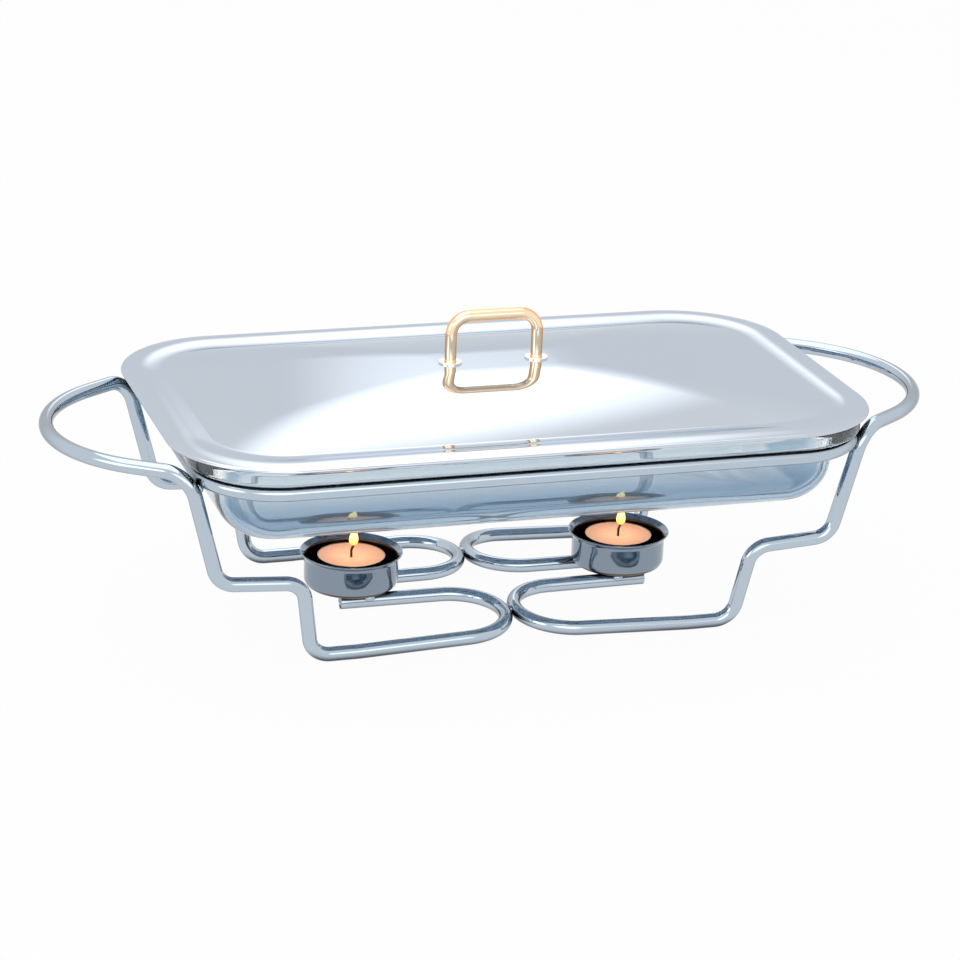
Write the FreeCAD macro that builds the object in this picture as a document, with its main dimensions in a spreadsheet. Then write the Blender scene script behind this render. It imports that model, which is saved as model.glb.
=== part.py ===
import FreeCAD, Part
import math
import os

import Sketcher
from FreeCAD import Placement, Rotation, Vector

# A rectangular glass chafing dish on a bent-rod stand, warmed by two tealights.
# X runs along the dish from the left handle to the right one, Y from front to back, Z up.
# The origin lies on the tabletop under the middle of the dish. Lengths are millimetres.

SIZES = (
    ("rod_diameter", 8.0, "every bent rod of the stand"),
    ("bend_radius", 12.0, "centre-line radius of the small bends"),
    ("top_bend_radius", 17.0, "centre-line radius of the bend from riser to handle"),
    ("foot_reach", 121.0, "from the middle to the foot corners, along X"),
    ("foot_spread", 74.5, "from the middle to the foot corners, along Y"),
    ("foot_flat", 26.0, "level run of the outer floor rail beside the foot corner"),
    ("outer_rail_lift", 3.5, "rise of the outer floor rail from its level run to the hairpin"),
    ("rail_bend_radius", 80.0, "centre-line radius where the outer floor rail starts to rise"),
    ("inner_rail_spread", 16.5, "from the middle to the inner rail at the hairpin, along Y"),
    ("inner_rail_toe", 1.0, "how far the inner rail runs inwards towards its free end"),
    ("inner_rail_lift", 5.0, "height of the inner rail above a rail that lies on the table"),
    ("inner_rail_reach", 89.5, "from the middle to the free end of the inner rail"),
    ("step_height", 49.0, "height of the step's centre line"),
    ("step_start", 128.0, "from the middle to the step's inner corner, along X"),
    ("step_end", 174.0, "from the middle to the step's outer corner, along X"),
    ("step_start_spread", 81.5, "from the middle to the step's inner corner, along Y"),
    ("step_end_spread", 81.0, "from the middle to the step's outer corner, along Y"),
    ("step_rise", 2.8, "how much higher the step's outer corner is"),
    ("handle_height", 115.0, "height of the side handles' centre line"),
    ("handle_reach", 248.8, "from the middle to the tip of a side handle"),
    ("handle_half_width", 65.6, "from the middle to the ends of a side handle's round part, along Y"),
    ("hoop_half_length", 183.5, "rim hoop, from the middle to its end rod"),
    ("hoop_half_width", 111.0, "rim hoop, from the middle to its side rod"),
    ("hoop_corner", 42.0, "centre-line radius of the rim hoop's corners"),
    ("hoop_height", 111.0, "height of the rim hoop's centre line"),
    ("weld_radius", 3.0, "size of the weld beads"),
    ("weld_gap", 0.05, "between a riser and the hoop beside their weld"),
    ("weld_clearance", 0.5, "from a centre bead's ball to the point where the two frames meet"),
    ("cup_offset", 79.3, "from the middle to a cup's axis"),
    ("cup_radius", 26.5, "outside of a cup's wall"),
    ("cup_lip_radius", 29.5, "outside of a cup's flared lip"),
    ("cup_depth", 20.5, "height of a cup"),
    ("cup_flare", 3.0, "height of the flared lip"),
    ("cup_sheet", 1.0, "sheet thickness of a cup"),
    ("cup_floor_round", 5.0, "outer radius of a cup's bottom corner"),
    ("can_radius", 19.0, "outside of a tealight's can"),
    ("can_depth", 16.8, "height of a tealight's can"),
    ("can_sheet", 0.4, "sheet thickness of a can"),
    ("wax_depth", 16.2, "depth of the wax"),
    ("wax_gap", 0.1, "between the wax and the can's wall"),
    ("sustainer_radius", 7.0, "radius of a wick's disc"),
    ("sustainer_sheet", 0.5, "thickness of a wick's disc"),
    ("sustainer_neck", 3.0, "height of a wick's neck"),
    ("wick_radius", 0.7, "radius of a wick"),
    ("wick_rise", 6.5, "height of a wick above the wax"),
    ("wick_lean", 1.6, "sideways lean of a wick's tip"),
    ("dish_gap", 0.3, "between the glass rim and the hoop, and between the lid and the glass rim"),
    ("dish_depth", 49.5, "height of the glass dish"),
    ("dish_rim_height", 9.5, "height of the glass rim"),
    ("dish_rim_overhang", 5.0, "how far the glass rim passes the hoop's centre line"),
    ("dish_wall_inset", 6.0, "from the hoop's centre line to the glass wall, under the rim"),
    ("dish_taper", 7.0, "how much the glass wall leans inwards down to the floor"),
    ("dish_floor_round", 23.5, "outer radius between the glass floor and wall"),
    ("dish_glass", 5.0, "thickness of the glass"),
    ("dish_rim_round", 3.0, "rounding of the glass rim's edges"),
    ("lid_half_length", 197.0, "lid, from the middle to its end edge"),
    ("lid_half_width", 119.5, "lid, from the middle to its side edge"),
    ("lid_corner", 62.0, "radius of the lid's corners"),
    ("lid_sheet", 1.0, "sheet thickness of the lid"),
    ("lid_lip", 1.4, "how far the lid's edge hangs below the valley"),
    ("lid_crest", 1.0, "height of the border's crest above the valley"),
    ("lid_roll", 40.0, "outer radius of the border's broad crest"),
    ("lid_edge_round", 1.6, "outer radius of the lid's turned-down edge"),
    ("lid_valley", 24.0, "width of the lid's border, from its edge to the panel"),
    ("lid_dome", 14.4, "rise of the panel to its middle"),
    ("arch_rod", 6.5, "diameter of the lid handle's rod"),
    ("arch_span", 50.0, "between the two feet of the lid handle"),
    ("arch_height", 29.5, "height of the lid handle"),
    ("arch_bend", 10.5, "centre-line radius of the lid handle's corners"),
    ("collar_radius", 6.5, "outside of a handle collar"),
    ("collar_height", 1.0, "height of a handle collar"),
    ("collar_gap", 0.1, "between a collar and the handle's foot"),
    ("screw_radius", 1.6, "shank of a handle screw"),
    ("screw_depth", 8.0, "how far a screw goes into the handle's foot"),
    ("screw_gap", 0.1, "between a screw and its hole"),
    ("screw_head_radius", 3.4, "head of a handle screw"),
    ("screw_head_height", 2.2, "height of a screw's head"),
    ("washer_radius", 5.0, "outside of a screw's washer"),
    ("washer_height", 0.8, "thickness of a screw's washer"),
)

document = FreeCAD.newDocument("chafing_dish")
sheet = document.addObject("Spreadsheet::Sheet", "sizes")
for line, (alias, value, meaning) in enumerate(SIZES, start=1):
    sheet.set("A%d" % line, alias)
    sheet.set("B%d" % line, str(value))
    sheet.set("C%d" % line, meaning)
    sheet.setAlias("B%d" % line, alias)
document.recompute()

# Finished sub-parts by name, in the order in which they are written.
nodes = {}


def size(alias):
    """The value of one driving dimension."""
    return float(sheet.get(alias))


def keep(label, feature):
    """Names a finished sub-part and lists it for export."""
    feature.Label = label
    nodes[label] = feature
    return feature


def bind(feature, **expressions):
    """Ties properties to the sheet, and returns the feature."""
    for name, expression in expressions.items():
        feature.setExpression(name, expression)
    return feature


# Bent rods


def value_of(expression):
    """The number that an expression of sheet values stands for."""
    return float(sheet.evalExpression(expression.replace("sizes.", "")))


def bent_edges(points, radii):
    """Straight runs through the points, with a tangent arc at each inner point, or a sharp turn for radius 0."""
    edges = []
    start = points[0]
    for i, radius in enumerate(radii, start=1):
        back = (points[i - 1] - points[i]).normalize()
        ahead = (points[i + 1] - points[i]).normalize()
        half_turn = (math.pi - back.getAngle(ahead)) / 2
        reach = radius * math.tan(half_turn)
        inward = (back + ahead).normalize()
        centre = points[i] + inward * (radius / math.cos(half_turn))
        first = points[i] + back * reach
        last = points[i] + ahead * reach
        edges.append(Part.makeLine(start, first))
        if radius > 0:
            edges.append(Part.Arc(first, centre - inward * radius, last).toShape())
        start = last
    edges.append(Part.makeLine(start, points[-1]))
    return edges


def sweep_along(name, edges, section):
    """A solid made by carrying a section along a chain of tangent edges."""
    path = document.addObject("Part::Feature", name + "_path")
    path.Shape = Part.Wire(edges)
    sweep = document.addObject("Part::Sweep", name + "_sweep")
    sweep.Sections = [section]
    sweep.Spine = (path, ["Edge%d" % (i + 1) for i in range(len(path.Shape.Edges))])
    sweep.Solid = True
    sweep.Frenet = False
    return sweep


def rod(name, edges, radius):
    """A round rod of the given radius expression along a chain of tangent edges."""
    first = edges[0]
    section = document.addObject("Part::Circle", name + "_section")
    section.Placement = Placement(
        first.firstVertex().Point,
        Rotation(Vector(0, 0, 1), first.tangentAt(first.FirstParameter)),
    )
    bind(section, Radius=radius)
    return sweep_along(name, edges, section)


def rounded_loop(length, width, corner, height):
    """The edges of a level rounded rectangle, starting and ending in the middle of its right side."""
    corners = [
        Vector(length, width, height),
        Vector(-length, width, height),
        Vector(-length, -width, height),
        Vector(length, -width, height),
    ]
    middle = Vector(length, 0, height)
    return bent_edges([middle] + corners + [middle], [corner] * 4)


def mirrored_y(point):
    """The same point on the other side of the middle plane, front to back."""
    return Vector(point.x, -point.y, point.z)


# End frames and rim hoop

rod_radius = size("rod_diameter") / 2
inner_rail_height = rod_radius + size("inner_rail_lift")
outer_rail_height = rod_radius + size("outer_rail_lift")


hoop_loop = rounded_loop(size("hoop_half_length"), size("hoop_half_width"), size("hoop_corner"), size("hoop_height"))
step_corner = Vector(size("step_end"), -size("step_end_spread"), size("step_height") + size("step_rise"))
ROUND_SHARE = 0.583


def handle_points(reach):
    """A front riser's top corner at this reach, and where the side handle's round part begins."""
    depth = size("handle_reach") - reach
    bulge = ROUND_SHARE * depth
    half = size("handle_half_width")
    turn = 2 * math.atan(bulge / half)
    run = (depth - bulge) / math.sin(turn)
    corner = Vector(reach, -half - run * math.cos(turn), size("handle_height"))
    return corner, Vector(size("handle_reach") - bulge, -half, size("handle_height"))


def riser_contact():
    """The reach where the risers just miss the hoop, and the nearest points of the two centre lines."""
    hoop_line = Part.Wire(hoop_loop)
    apart = size("rod_diameter") + size("weld_gap")
    reach = size("hoop_half_length") + apart
    for _ in range(12):
        points = [step_corner, *handle_points(reach)]
        distance, pairs, _ = Part.Wire(bent_edges(points, [size("top_bend_radius")])).distToShape(hoop_line)
        reach += apart - distance
    return reach, pairs[0]


riser_reach, touching = riser_contact()


def end_frame_edges():
    """The right-hand frame from one free end to the other: hairpin, foot, riser, step, riser and handle."""
    free_end_spread = size("inner_rail_spread") - size("inner_rail_toe")
    front = [
        Vector(size("inner_rail_reach"), -free_end_spread, inner_rail_height),
        Vector(rod_radius, -size("inner_rail_spread"), inner_rail_height),
        Vector(rod_radius, -size("foot_spread"), outer_rail_height),
        Vector(size("foot_reach") - size("foot_flat"), -size("foot_spread"), rod_radius),
        Vector(size("foot_reach"), -size("foot_spread"), rod_radius),
        Vector(size("step_start"), -size("step_start_spread"), size("step_height")),
        step_corner,
        *handle_points(riser_reach),
    ]
    hairpin = 0.49 * (size("foot_spread") - size("inner_rail_spread"))
    bend = size("bend_radius")
    radii = [hairpin, hairpin, size("rail_bend_radius"), bend, bend, bend, size("top_bend_radius")]
    rear = [mirrored_y(point) for point in reversed(front)]
    tip = Vector(size("handle_reach"), 0, size("handle_height"))
    handle = Part.Arc(front[-1], tip, rear[0]).toShape()
    return bent_edges(front, radii) + [handle] + bent_edges(rear, radii[::-1])


right_frame = keep("right_end_frame", rod("right_end_frame", end_frame_edges(), "sizes.rod_diameter / 2"))
left_frame = keep("left_end_frame", document.addObject("Part::Mirroring", "left_end_frame_mirror"))
left_frame.Source = right_frame
left_frame.Normal = Vector(1, 0, 0)

hoop = keep("rim_hoop", rod("rim_hoop", hoop_loop, "sizes.rod_diameter / 2"))


# Sketches


def limit(sketch, kind, geometry, expression):
    """A driving dimension of a sketch, tied to the sheet."""
    value = value_of(expression)
    if kind == "Radius":
        constraint = Sketcher.Constraint(kind, geometry, value)
    else:
        constraint = Sketcher.Constraint(kind, -1, 1, geometry, 1, value)
    index = sketch.addConstraint(constraint)
    sketch.setExpression("Constraints[%d]" % index, expression)


def origin_plane(body, role):
    """One of a body's own origin planes."""
    return next(item for item in body.Origin.OriginFeatures if item.Role == role)


def new_sketch(body, name, role):
    """An empty sketch on one of a body's origin planes."""
    sketch = body.newObject("Sketcher::SketchObject", name)
    sketch.AttachmentSupport = [(origin_plane(body, role), "")]
    sketch.MapMode = "FlatFace"
    return sketch


def rounded_rectangle(name, length, width, corner, height):
    """A rounded rectangle round the origin from expressions of its half sizes, corner radius and height."""
    sketch = document.addObject("Sketcher::SketchObject", name)
    bind(sketch, **{"Placement.Base.z": height})
    radius = value_of(corner)
    across = value_of(length) - radius
    along = value_of(width) - radius
    centres = [Vector(across, along), Vector(-across, along), Vector(-across, -along), Vector(across, -along)]
    for i, centre in enumerate(centres):
        start = math.radians(90 * i)
        end = math.radians(90 * (i + 1))
        circle = Part.Circle(centre, Vector(0, 0, 1), radius)
        sketch.addGeometry(Part.ArcOfCircle(circle, start, end), False)
        reach = Vector(math.cos(end), math.sin(end)) * radius
        sketch.addGeometry(Part.LineSegment(centre + reach, centres[(i + 1) % 4] + reach), False)
    for i in range(8):
        sketch.addConstraint(Sketcher.Constraint("Tangent", i, 2, (i + 1) % 8, 1))
    for i in (1, 5):
        sketch.addConstraint(Sketcher.Constraint("Horizontal", i))
    sketch.addConstraint(Sketcher.Constraint("Vertical", 3))
    for i in (2, 4, 6):
        sketch.addConstraint(Sketcher.Constraint("Equal", 0, i))
    sketch.addConstraint(Sketcher.Constraint("Symmetric", 0, 3, 4, 3, -1, 1))
    limit(sketch, "DistanceX", 7, length)
    limit(sketch, "DistanceY", 1, width)
    limit(sketch, "Radius", 0, corner)
    return sketch


# Bodies and primitives


def new_body(label):
    """An empty body for one sub-part."""
    return keep(label, document.addObject("PartDesign::Body", label))


def revolve(body, name, corners):
    """A solid of revolution about Z from a closed outline of (radius, height) expressions."""
    sketch = new_sketch(body, name + "_outline", "XZ_Plane")
    points = [Vector(value_of(radius), value_of(height)) for radius, height in corners]
    count = len(points)
    for i in range(count):
        sketch.addGeometry(Part.LineSegment(points[i], points[(i + 1) % count]), False)
    for i in range(count):
        sketch.addConstraint(Sketcher.Constraint("Coincident", i, 2, (i + 1) % count, 1))
    for i, (radius, height) in enumerate(corners):
        limit(sketch, "DistanceX", i, radius)
        limit(sketch, "DistanceY", i, height)
    feature = body.newObject("PartDesign::Revolution", name)
    feature.Profile = sketch
    feature.ReferenceAxis = (sketch, ["V_Axis"])
    feature.Angle = 360
    document.recompute()
    return feature


def names_of(kind, elements, test):
    """The names of those edges or faces that pass a test."""
    return ["%s%d" % (kind, i) for i, element in enumerate(elements, start=1) if test(element)]


def flat_at(height):
    """A test for faces or edges that lie wholly at one height."""

    def test(element):
        box = element.BoundBox
        return abs(box.ZMin - height) < 0.01 and abs(box.ZMax - height) < 0.01

    return test


def round_edges(body, name, base, test, radius):
    """A fillet of the radius expression on those edges of the base feature that pass the test."""
    fillet = body.newObject("PartDesign::Fillet", name)
    fillet.Base = (base, names_of("Edge", base.Shape.Edges, test))
    bind(fillet, Radius=radius)
    document.recompute()
    return fillet


def cylinder(name, radius, height, **place):
    """An upright cylinder from expressions, with its foot at the given x, y and z."""
    shape = document.addObject("Part::Cylinder", name)
    bind(shape, Radius=radius, Height=height)
    return bind(shape, **{"Placement.Base." + axis: expression for axis, expression in place.items()})


def cut(name, base, tool):
    """The base with the tool taken away."""
    feature = document.addObject("Part::Cut", name)
    feature.Base = base
    feature.Tool = tool
    return feature


def raised(name, outline, height):
    """A flat plate on an outline, as thick as the height expression."""
    plate = document.addObject("Part::Extrusion", name)
    plate.Base = outline
    plate.DirMode = "Custom"
    plate.Dir = Vector(0, 0, 1)
    plate.Solid = True
    return bind(plate, LengthFwd=height)


def join(name, parts):
    """Several shapes fused into one solid."""
    feature = document.addObject("Part::MultiFuse", name)
    feature.Shapes = parts
    return feature


def group(name, parts):
    """Separate pieces that share one node."""
    feature = document.addObject("Part::Compound", name)
    feature.Links = parts
    return feature


SIDES = (("left", -1), ("right", 1))

# Candle cups

cup_floor = "(sizes.rod_diameter + sizes.inner_rail_lift)"


def candle_cup(side, sign):
    """A pressed cup with a flared lip, standing on the free ends of the inner rails."""
    body = new_body(side + "_candle_cup")
    outline = (
        ("0", "0"),
        ("sizes.cup_radius", "0"),
        ("sizes.cup_radius", "sizes.cup_depth - sizes.cup_flare"),
        ("sizes.cup_lip_radius", "sizes.cup_depth"),
        ("0", "sizes.cup_depth"),
    )
    blank = revolve(body, "cup_blank", outline)
    neck_height = size("cup_depth") - size("cup_flare")
    rounded = round_edges(body, "cup_floor_corner", blank, flat_at(0), "sizes.cup_floor_round")
    flared = round_edges(body, "cup_neck", rounded, flat_at(neck_height), "sizes.cup_flare")
    wall = body.newObject("PartDesign::Thickness", "cup_wall")
    wall.Base = (flared, names_of("Face", flared.Shape.Faces, flat_at(size("cup_depth"))))
    bind(wall, Value="sizes.cup_sheet")
    wall.Reversed = True
    return bind(body, **{"Placement.Base.x": "sizes.cup_offset * %d" % sign, "Placement.Base.z": cup_floor})


cups = [candle_cup(side, sign) for side, sign in SIDES]

# Tealights

can_floor = cup_floor + " + sizes.cup_sheet"
wax_floor = can_floor + " + sizes.can_sheet"
wick_bore = "(sizes.wick_radius + sizes.wax_gap)"
neck_radius = "(sizes.wick_radius + sizes.wax_gap + sizes.sustainer_sheet)"


def tealight(side, sign):
    """A thin can with wax, and a wick that stands in the neck of its tin disc."""
    axis = "sizes.cup_offset * %d" % sign

    def round_bar(name, radius, height, floor):
        return cylinder(side + name, radius, height, x=axis, z=floor)

    can_outside = round_bar("_can_outside", "sizes.can_radius", "sizes.can_depth", can_floor)
    can_inside = round_bar("_can_inside", "sizes.can_radius - sizes.can_sheet", "sizes.can_depth", wax_floor)
    keep(side + "_tealight_can", cut(side + "_can_shell", can_outside, can_inside))

    wax_radius = "sizes.can_radius - sizes.can_sheet - sizes.wax_gap"
    block = round_bar("_wax_block", wax_radius, "sizes.wax_depth", wax_floor)
    disc_room = round_bar(
        "_disc_room", "sizes.sustainer_radius + sizes.wax_gap", "sizes.sustainer_sheet", wax_floor
    )
    neck_room = round_bar("_neck_room", neck_radius + " + sizes.wax_gap", "sizes.sustainer_neck", wax_floor)
    wick_room = round_bar("_wick_room", wick_bore, "sizes.wax_depth", wax_floor)
    room = join(side + "_wick_space", [disc_room, neck_room, wick_room])
    keep(side + "_wax", cut(side + "_wax_fill", block, room))

    disc = new_body(side + "_wick_sustainer")
    outline = (
        ("0", "0"),
        ("sizes.sustainer_radius", "0"),
        ("sizes.sustainer_radius", "sizes.sustainer_sheet"),
        (neck_radius, "sizes.sustainer_sheet"),
        (neck_radius, "sizes.sustainer_neck"),
        (wick_bore, "sizes.sustainer_neck"),
        (wick_bore, "sizes.sustainer_sheet"),
        ("0", "sizes.sustainer_sheet"),
    )
    revolve(disc, "sustainer", outline)
    bind(disc, **{"Placement.Base.x": axis, "Placement.Base.z": wax_floor})

    foot = Vector(size("cup_offset") * sign, 0, value_of(wax_floor) + size("sustainer_sheet"))
    surface = value_of(wax_floor) + size("wax_depth")
    knee = Vector(foot.x, 0, surface + size("wick_rise") / 2)
    tip = Vector(foot.x + size("wick_lean"), 0, surface + size("wick_rise"))
    edges = bent_edges([foot, knee, tip], [size("wick_radius") * 3])
    keep(side + "_wick", rod(side + "_wick", edges, "sizes.wick_radius"))


for side, sign in SIDES:
    tealight(side, sign)

# Glass dish

rim_seat = "(sizes.hoop_height + sizes.rod_diameter / 2 + sizes.dish_gap)"
rim_top = "(%s + sizes.dish_rim_height)" % rim_seat
dish_floor = "(%s - sizes.dish_depth)" % rim_top


def glass_section():
    """The glass at the right end: floor edge, rounded foot, leaning wall, thick rim and the inside face."""
    hoop_line = size("hoop_half_length")
    floor = value_of(dish_floor)
    seat = value_of(rim_seat)
    top = value_of(rim_top)
    glass = size("dish_glass")
    shoulder = hoop_line - size("dish_wall_inset")
    foot = shoulder - size("dish_taper")
    plate_edge = foot - size("dish_floor_round")
    at_seat = foot + size("dish_taper") * (seat - floor) / size("dish_depth")
    rim_edge = hoop_line + size("dish_rim_overhang")
    rim_round = size("dish_rim_round")
    outline = (
        (plate_edge, floor, 0),
        (foot, floor, size("dish_floor_round")),
        (at_seat, seat, rim_round / 2),
        (rim_edge, seat, rim_round),
        (rim_edge, top, rim_round),
        (shoulder - glass, top, rim_round / 2),
        (foot - glass, floor + glass, size("dish_floor_round") - glass),
        (plate_edge, floor + glass, 0),
    )
    middle = Vector(plate_edge, 0, floor + glass / 2)
    points = [middle] + [Vector(reach, 0, height) for reach, height, _ in outline] + [middle]
    section = document.addObject("Part::Feature", "glass_section")
    section.Shape = Part.Wire(bent_edges(points, [radius for _, _, radius in outline]))
    return section


def glass_dish():
    """A glass pan with a thick rim that stands on the hoop: its wall runs round the edge of a flat floor."""
    wall = sweep_along("glass_wall", hoop_loop, glass_section())
    inset = "(sizes.dish_wall_inset + sizes.dish_taper + sizes.dish_floor_round)"
    spans = ["sizes.%s - %s" % (name, inset) for name in ("hoop_half_length", "hoop_half_width", "hoop_corner")]
    outline = rounded_rectangle("glass_floor_outline", *spans, dish_floor)
    return keep("glass_dish", join("glass_pan", [wall, raised("glass_floor", outline, "sizes.dish_glass")]))


dish = glass_dish()

# Lid

valley_top = "(%s + sizes.dish_gap + sizes.lid_sheet)" % rim_top
panel_length = "(sizes.lid_half_length - sizes.lid_valley)"
panel_width = "(sizes.lid_half_width - sizes.lid_valley)"
panel_corner = "(sizes.lid_corner - sizes.lid_valley)"
pad_share = "((sizes.arch_span / 2 + sizes.collar_radius + 1) / %s)" % panel_length
pad_top = "(%s + sizes.lid_dome * (1 - %s ^ 2))" % (valley_top, pad_share)
DOME_STEPS = 6


def border_section():
    """The lid's border at its right edge: a turned-down edge, a broad crest and a hollow that runs out flat."""
    edge = size("lid_half_length")
    valley = value_of(valley_top)
    roll = size("lid_roll")
    turn = size("lid_edge_round")
    turn_angle = math.acos((roll - size("lid_crest") - size("lid_lip")) / (roll - turn))
    inset = turn + (roll - turn) * math.sin(turn_angle)
    edge_centre = Vector(edge - turn, 0, valley - size("lid_lip"))
    crest_centre = Vector(edge - inset, 0, valley + size("lid_crest") - roll)
    run = size("lid_valley") - inset
    drop = size("lid_crest") - roll
    hollow = (run ** 2 + drop ** 2 - roll ** 2) / (2 * size("lid_crest"))
    hollow_centre = Vector(edge - size("lid_valley"), 0, valley + hollow)
    to_hollow = (hollow_centre - crest_centre).normalize()
    to_turn = Vector(math.sin(turn_angle), 0, math.cos(turn_angle))
    outward = Vector(1, 0, 0)
    over_edge = (to_turn + outward).normalize()
    between = (to_hollow + to_turn).normalize()
    below = Vector(0, 0, -1)
    from_hollow = (below - to_hollow).normalize()

    def face(depth):
        crest = roll - depth
        return [
            edge_centre + outward * (turn - depth),
            edge_centre + over_edge * (turn - depth),
            crest_centre + to_turn * crest,
            crest_centre + between * crest,
            crest_centre + to_hollow * crest,
            hollow_centre + from_hollow * (hollow + depth),
            hollow_centre + below * (hollow + depth),
        ]

    top = face(0)
    under = face(size("lid_sheet"))
    section = document.addObject("Part::Feature", "lid_border_section")
    section.Shape = Part.Wire([
        Part.Arc(*top[:3]).toShape(),
        Part.Arc(*top[2:5]).toShape(),
        Part.Arc(*top[4:]).toShape(),
        Part.makeLine(top[6], under[6]),
        Part.Arc(*under[:3:-1]).toShape(),
        Part.Arc(*under[4:1:-1]).toShape(),
        Part.Arc(*under[2::-1]).toShape(),
        Part.makeLine(under[0], top[0]),
    ])
    return section


def dome(name, sink):
    """A pillow over the panel, lowered by the sink expression, flat on top where the handle stands."""
    sections = []
    for i in range(DOME_STEPS + 1):
        share = "(1 - (1 - %s) * %d / %d)" % (pad_share, i, DOME_STEPS)
        height = "%s - %s + sizes.lid_dome * (1 - %s ^ 2)" % (valley_top, sink, share)
        spans = [part + " * " + share for part in (panel_length, panel_width, panel_corner)]
        sections.append(rounded_rectangle("%s_section_%d" % (name, i), *spans, height))
    loft = document.addObject("Part::Loft", name)
    loft.Sections = sections
    loft.Solid = True
    return loft


def foot_pieces(name, make):
    """The same piece at both feet of the lid handle."""
    return [make("%s_%s" % (side, name), "sizes.arch_span / 2 * %d" % sign) for side, sign in SIDES]


def lid_shell():
    """One pressed sheet: border, valley and domed panel, with two holes for the handle's screws."""
    loop = rounded_loop(
        size("lid_half_length"), size("lid_half_width"), size("lid_corner"), value_of(valley_top)
    )
    border = sweep_along("lid_border", loop, border_section())
    floor = valley_top + " - sizes.lid_sheet"
    outline = rounded_rectangle("panel_outline", panel_length, panel_width, panel_corner, floor)
    plate = raised("panel_plate", outline, "sizes.lid_sheet")
    panel = cut("panel", join("panel_block", [plate, dome("panel_top", "0")]), dome("panel_under", "sizes.lid_sheet"))
    sheet_metal = join("lid_sheet_metal", [border, panel])
    hole_radius = "sizes.screw_radius + sizes.screw_gap"
    holes = foot_pieces(
        "lid_hole",
        lambda name, x: cylinder(name, hole_radius, "sizes.lid_sheet * 3", x=x, z=pad_top + " - sizes.lid_sheet * 2"),
    )
    return keep("lid_shell", cut("lid_with_holes", sheet_metal, group("lid_holes", holes)))


lid = lid_shell()

# Lid handle and its fasteners

under_pad = "(%s - sizes.lid_sheet)" % pad_top
under_washer = "(%s - sizes.washer_height)" % under_pad
screw_tip = "(%s + sizes.screw_depth)" % pad_top


def lid_handle():
    """An arch of round rod with a blind hole up each foot."""
    half = size("arch_span") / 2
    foot = value_of(pad_top)
    top = foot + size("arch_height") - size("arch_rod") / 2
    points = [Vector(-half, 0, foot), Vector(-half, 0, top), Vector(half, 0, top), Vector(half, 0, foot)]
    arch = rod("lid_arch", bent_edges(points, [size("arch_bend")] * 2), "sizes.arch_rod / 2")
    hole_radius = "sizes.screw_radius + sizes.screw_gap"
    holes = foot_pieces(
        "foot_hole",
        lambda name, x: cylinder(name, hole_radius, "sizes.screw_depth + sizes.screw_gap * 5", x=x, z=pad_top),
    )
    return keep("lid_handle", cut("drilled_arch", arch, group("foot_holes", holes)))


def ring(name, outer, inner, height, x, floor):
    """A flat ring from expressions."""
    outside = cylinder(name + "_outside", outer, height, x=x, z=floor)
    inside = cylinder(name + "_inside", inner, height, x=x, z=floor)
    return cut(name, outside, inside)


def collar(name, x):
    """A round collar on the lid round one foot of the arch."""
    bore = "sizes.arch_rod / 2 + sizes.collar_gap"
    return ring(name, "sizes.collar_radius", bore, "sizes.collar_height", x, pad_top)


def washer(name, x):
    """A washer against the underside of the lid."""
    bore = "sizes.screw_radius + sizes.screw_gap"
    return ring(name, "sizes.washer_radius", bore, "sizes.washer_height", x, under_washer)


def screw(name, x):
    """A screw with its head under the washer and its shank up in the arch's foot."""
    head_floor = under_washer + " - sizes.screw_head_height"
    head = cylinder(name + "_head", "sizes.screw_head_radius", "sizes.screw_head_height", x=x, z=head_floor)
    shank = cylinder(name + "_shank", "sizes.screw_radius", screw_tip + " - " + under_washer, x=x, z=under_washer)
    return join(name, [head, shank])


lid_handle()
keep("handle_collars", group("collar_pair", foot_pieces("collar", collar)))
keep("handle_washers", group("washer_pair", foot_pieces("washer", washer)))
keep("handle_screws", group("screw_pair", foot_pieces("screw", screw)))

# Welds


def bead(name, centre, share=1.0):
    """A ball of weld metal, with its poles front and back and its seam on top, away from the rods."""
    ball = document.addObject("Part::Sphere", name)
    ball.Placement = Placement(centre, Rotation(Vector(1, 1, 1), 240))
    return bind(ball, Radius="sizes.weld_radius * %s" % share)


def corners_of(point):
    """A point of the front right quarter, repeated in all four quarters."""
    return [Vector(point.x * across, point.y * along, point.z) for across in (-1, 1) for along in (-1, 1)]


def weld(label, centres, neighbours, share=1.0):
    """Beads in the crevices between pieces that touch, without the pieces themselves."""
    pieces = []
    for i, centre in enumerate(centres):
        piece = bead("%s_bead_%d" % (label, i), centre, share)
        for k, neighbour in enumerate(neighbours):
            piece = cut("%s_fillet_%d_%d" % (label, i, k), piece, neighbour)
        pieces.append(piece)
    return keep(label, group(label + "_beads", pieces))


across_gap = (touching[0] - touching[1]).normalize()
downwards = (Vector(0, 0, -1) + across_gap * across_gap.z).normalize()
hoop_crevice = (touching[0] + touching[1]) * 0.5 + downwards * size("weld_radius")
weld("hoop_welds", corners_of(hoop_crevice), [hoop, left_frame, right_frame])

hairpin_spread = (size("foot_spread") + size("inner_rail_spread")) / 2
hairpin_height = (outer_rail_height + inner_rail_height) / 2
hairpin_crevice = Vector(0, hairpin_spread, hairpin_height + size("weld_radius") + size("weld_clearance"))
weld("centre_welds", [hairpin_crevice, mirrored_y(hairpin_crevice)], [left_frame, right_frame])

cup_weld_reach = size("cup_offset") - size("weld_radius") * 2
rail_spread = size("inner_rail_spread") - size("inner_rail_toe") * cup_weld_reach / size("inner_rail_reach")
cup_crevice = Vector(cup_weld_reach, rail_spread + rod_radius * 0.9, value_of(cup_floor) - rod_radius / 3)
weld("cup_welds", corners_of(cup_crevice), [left_frame, right_frame] + cups, share=0.7)

# Checks and files

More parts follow.
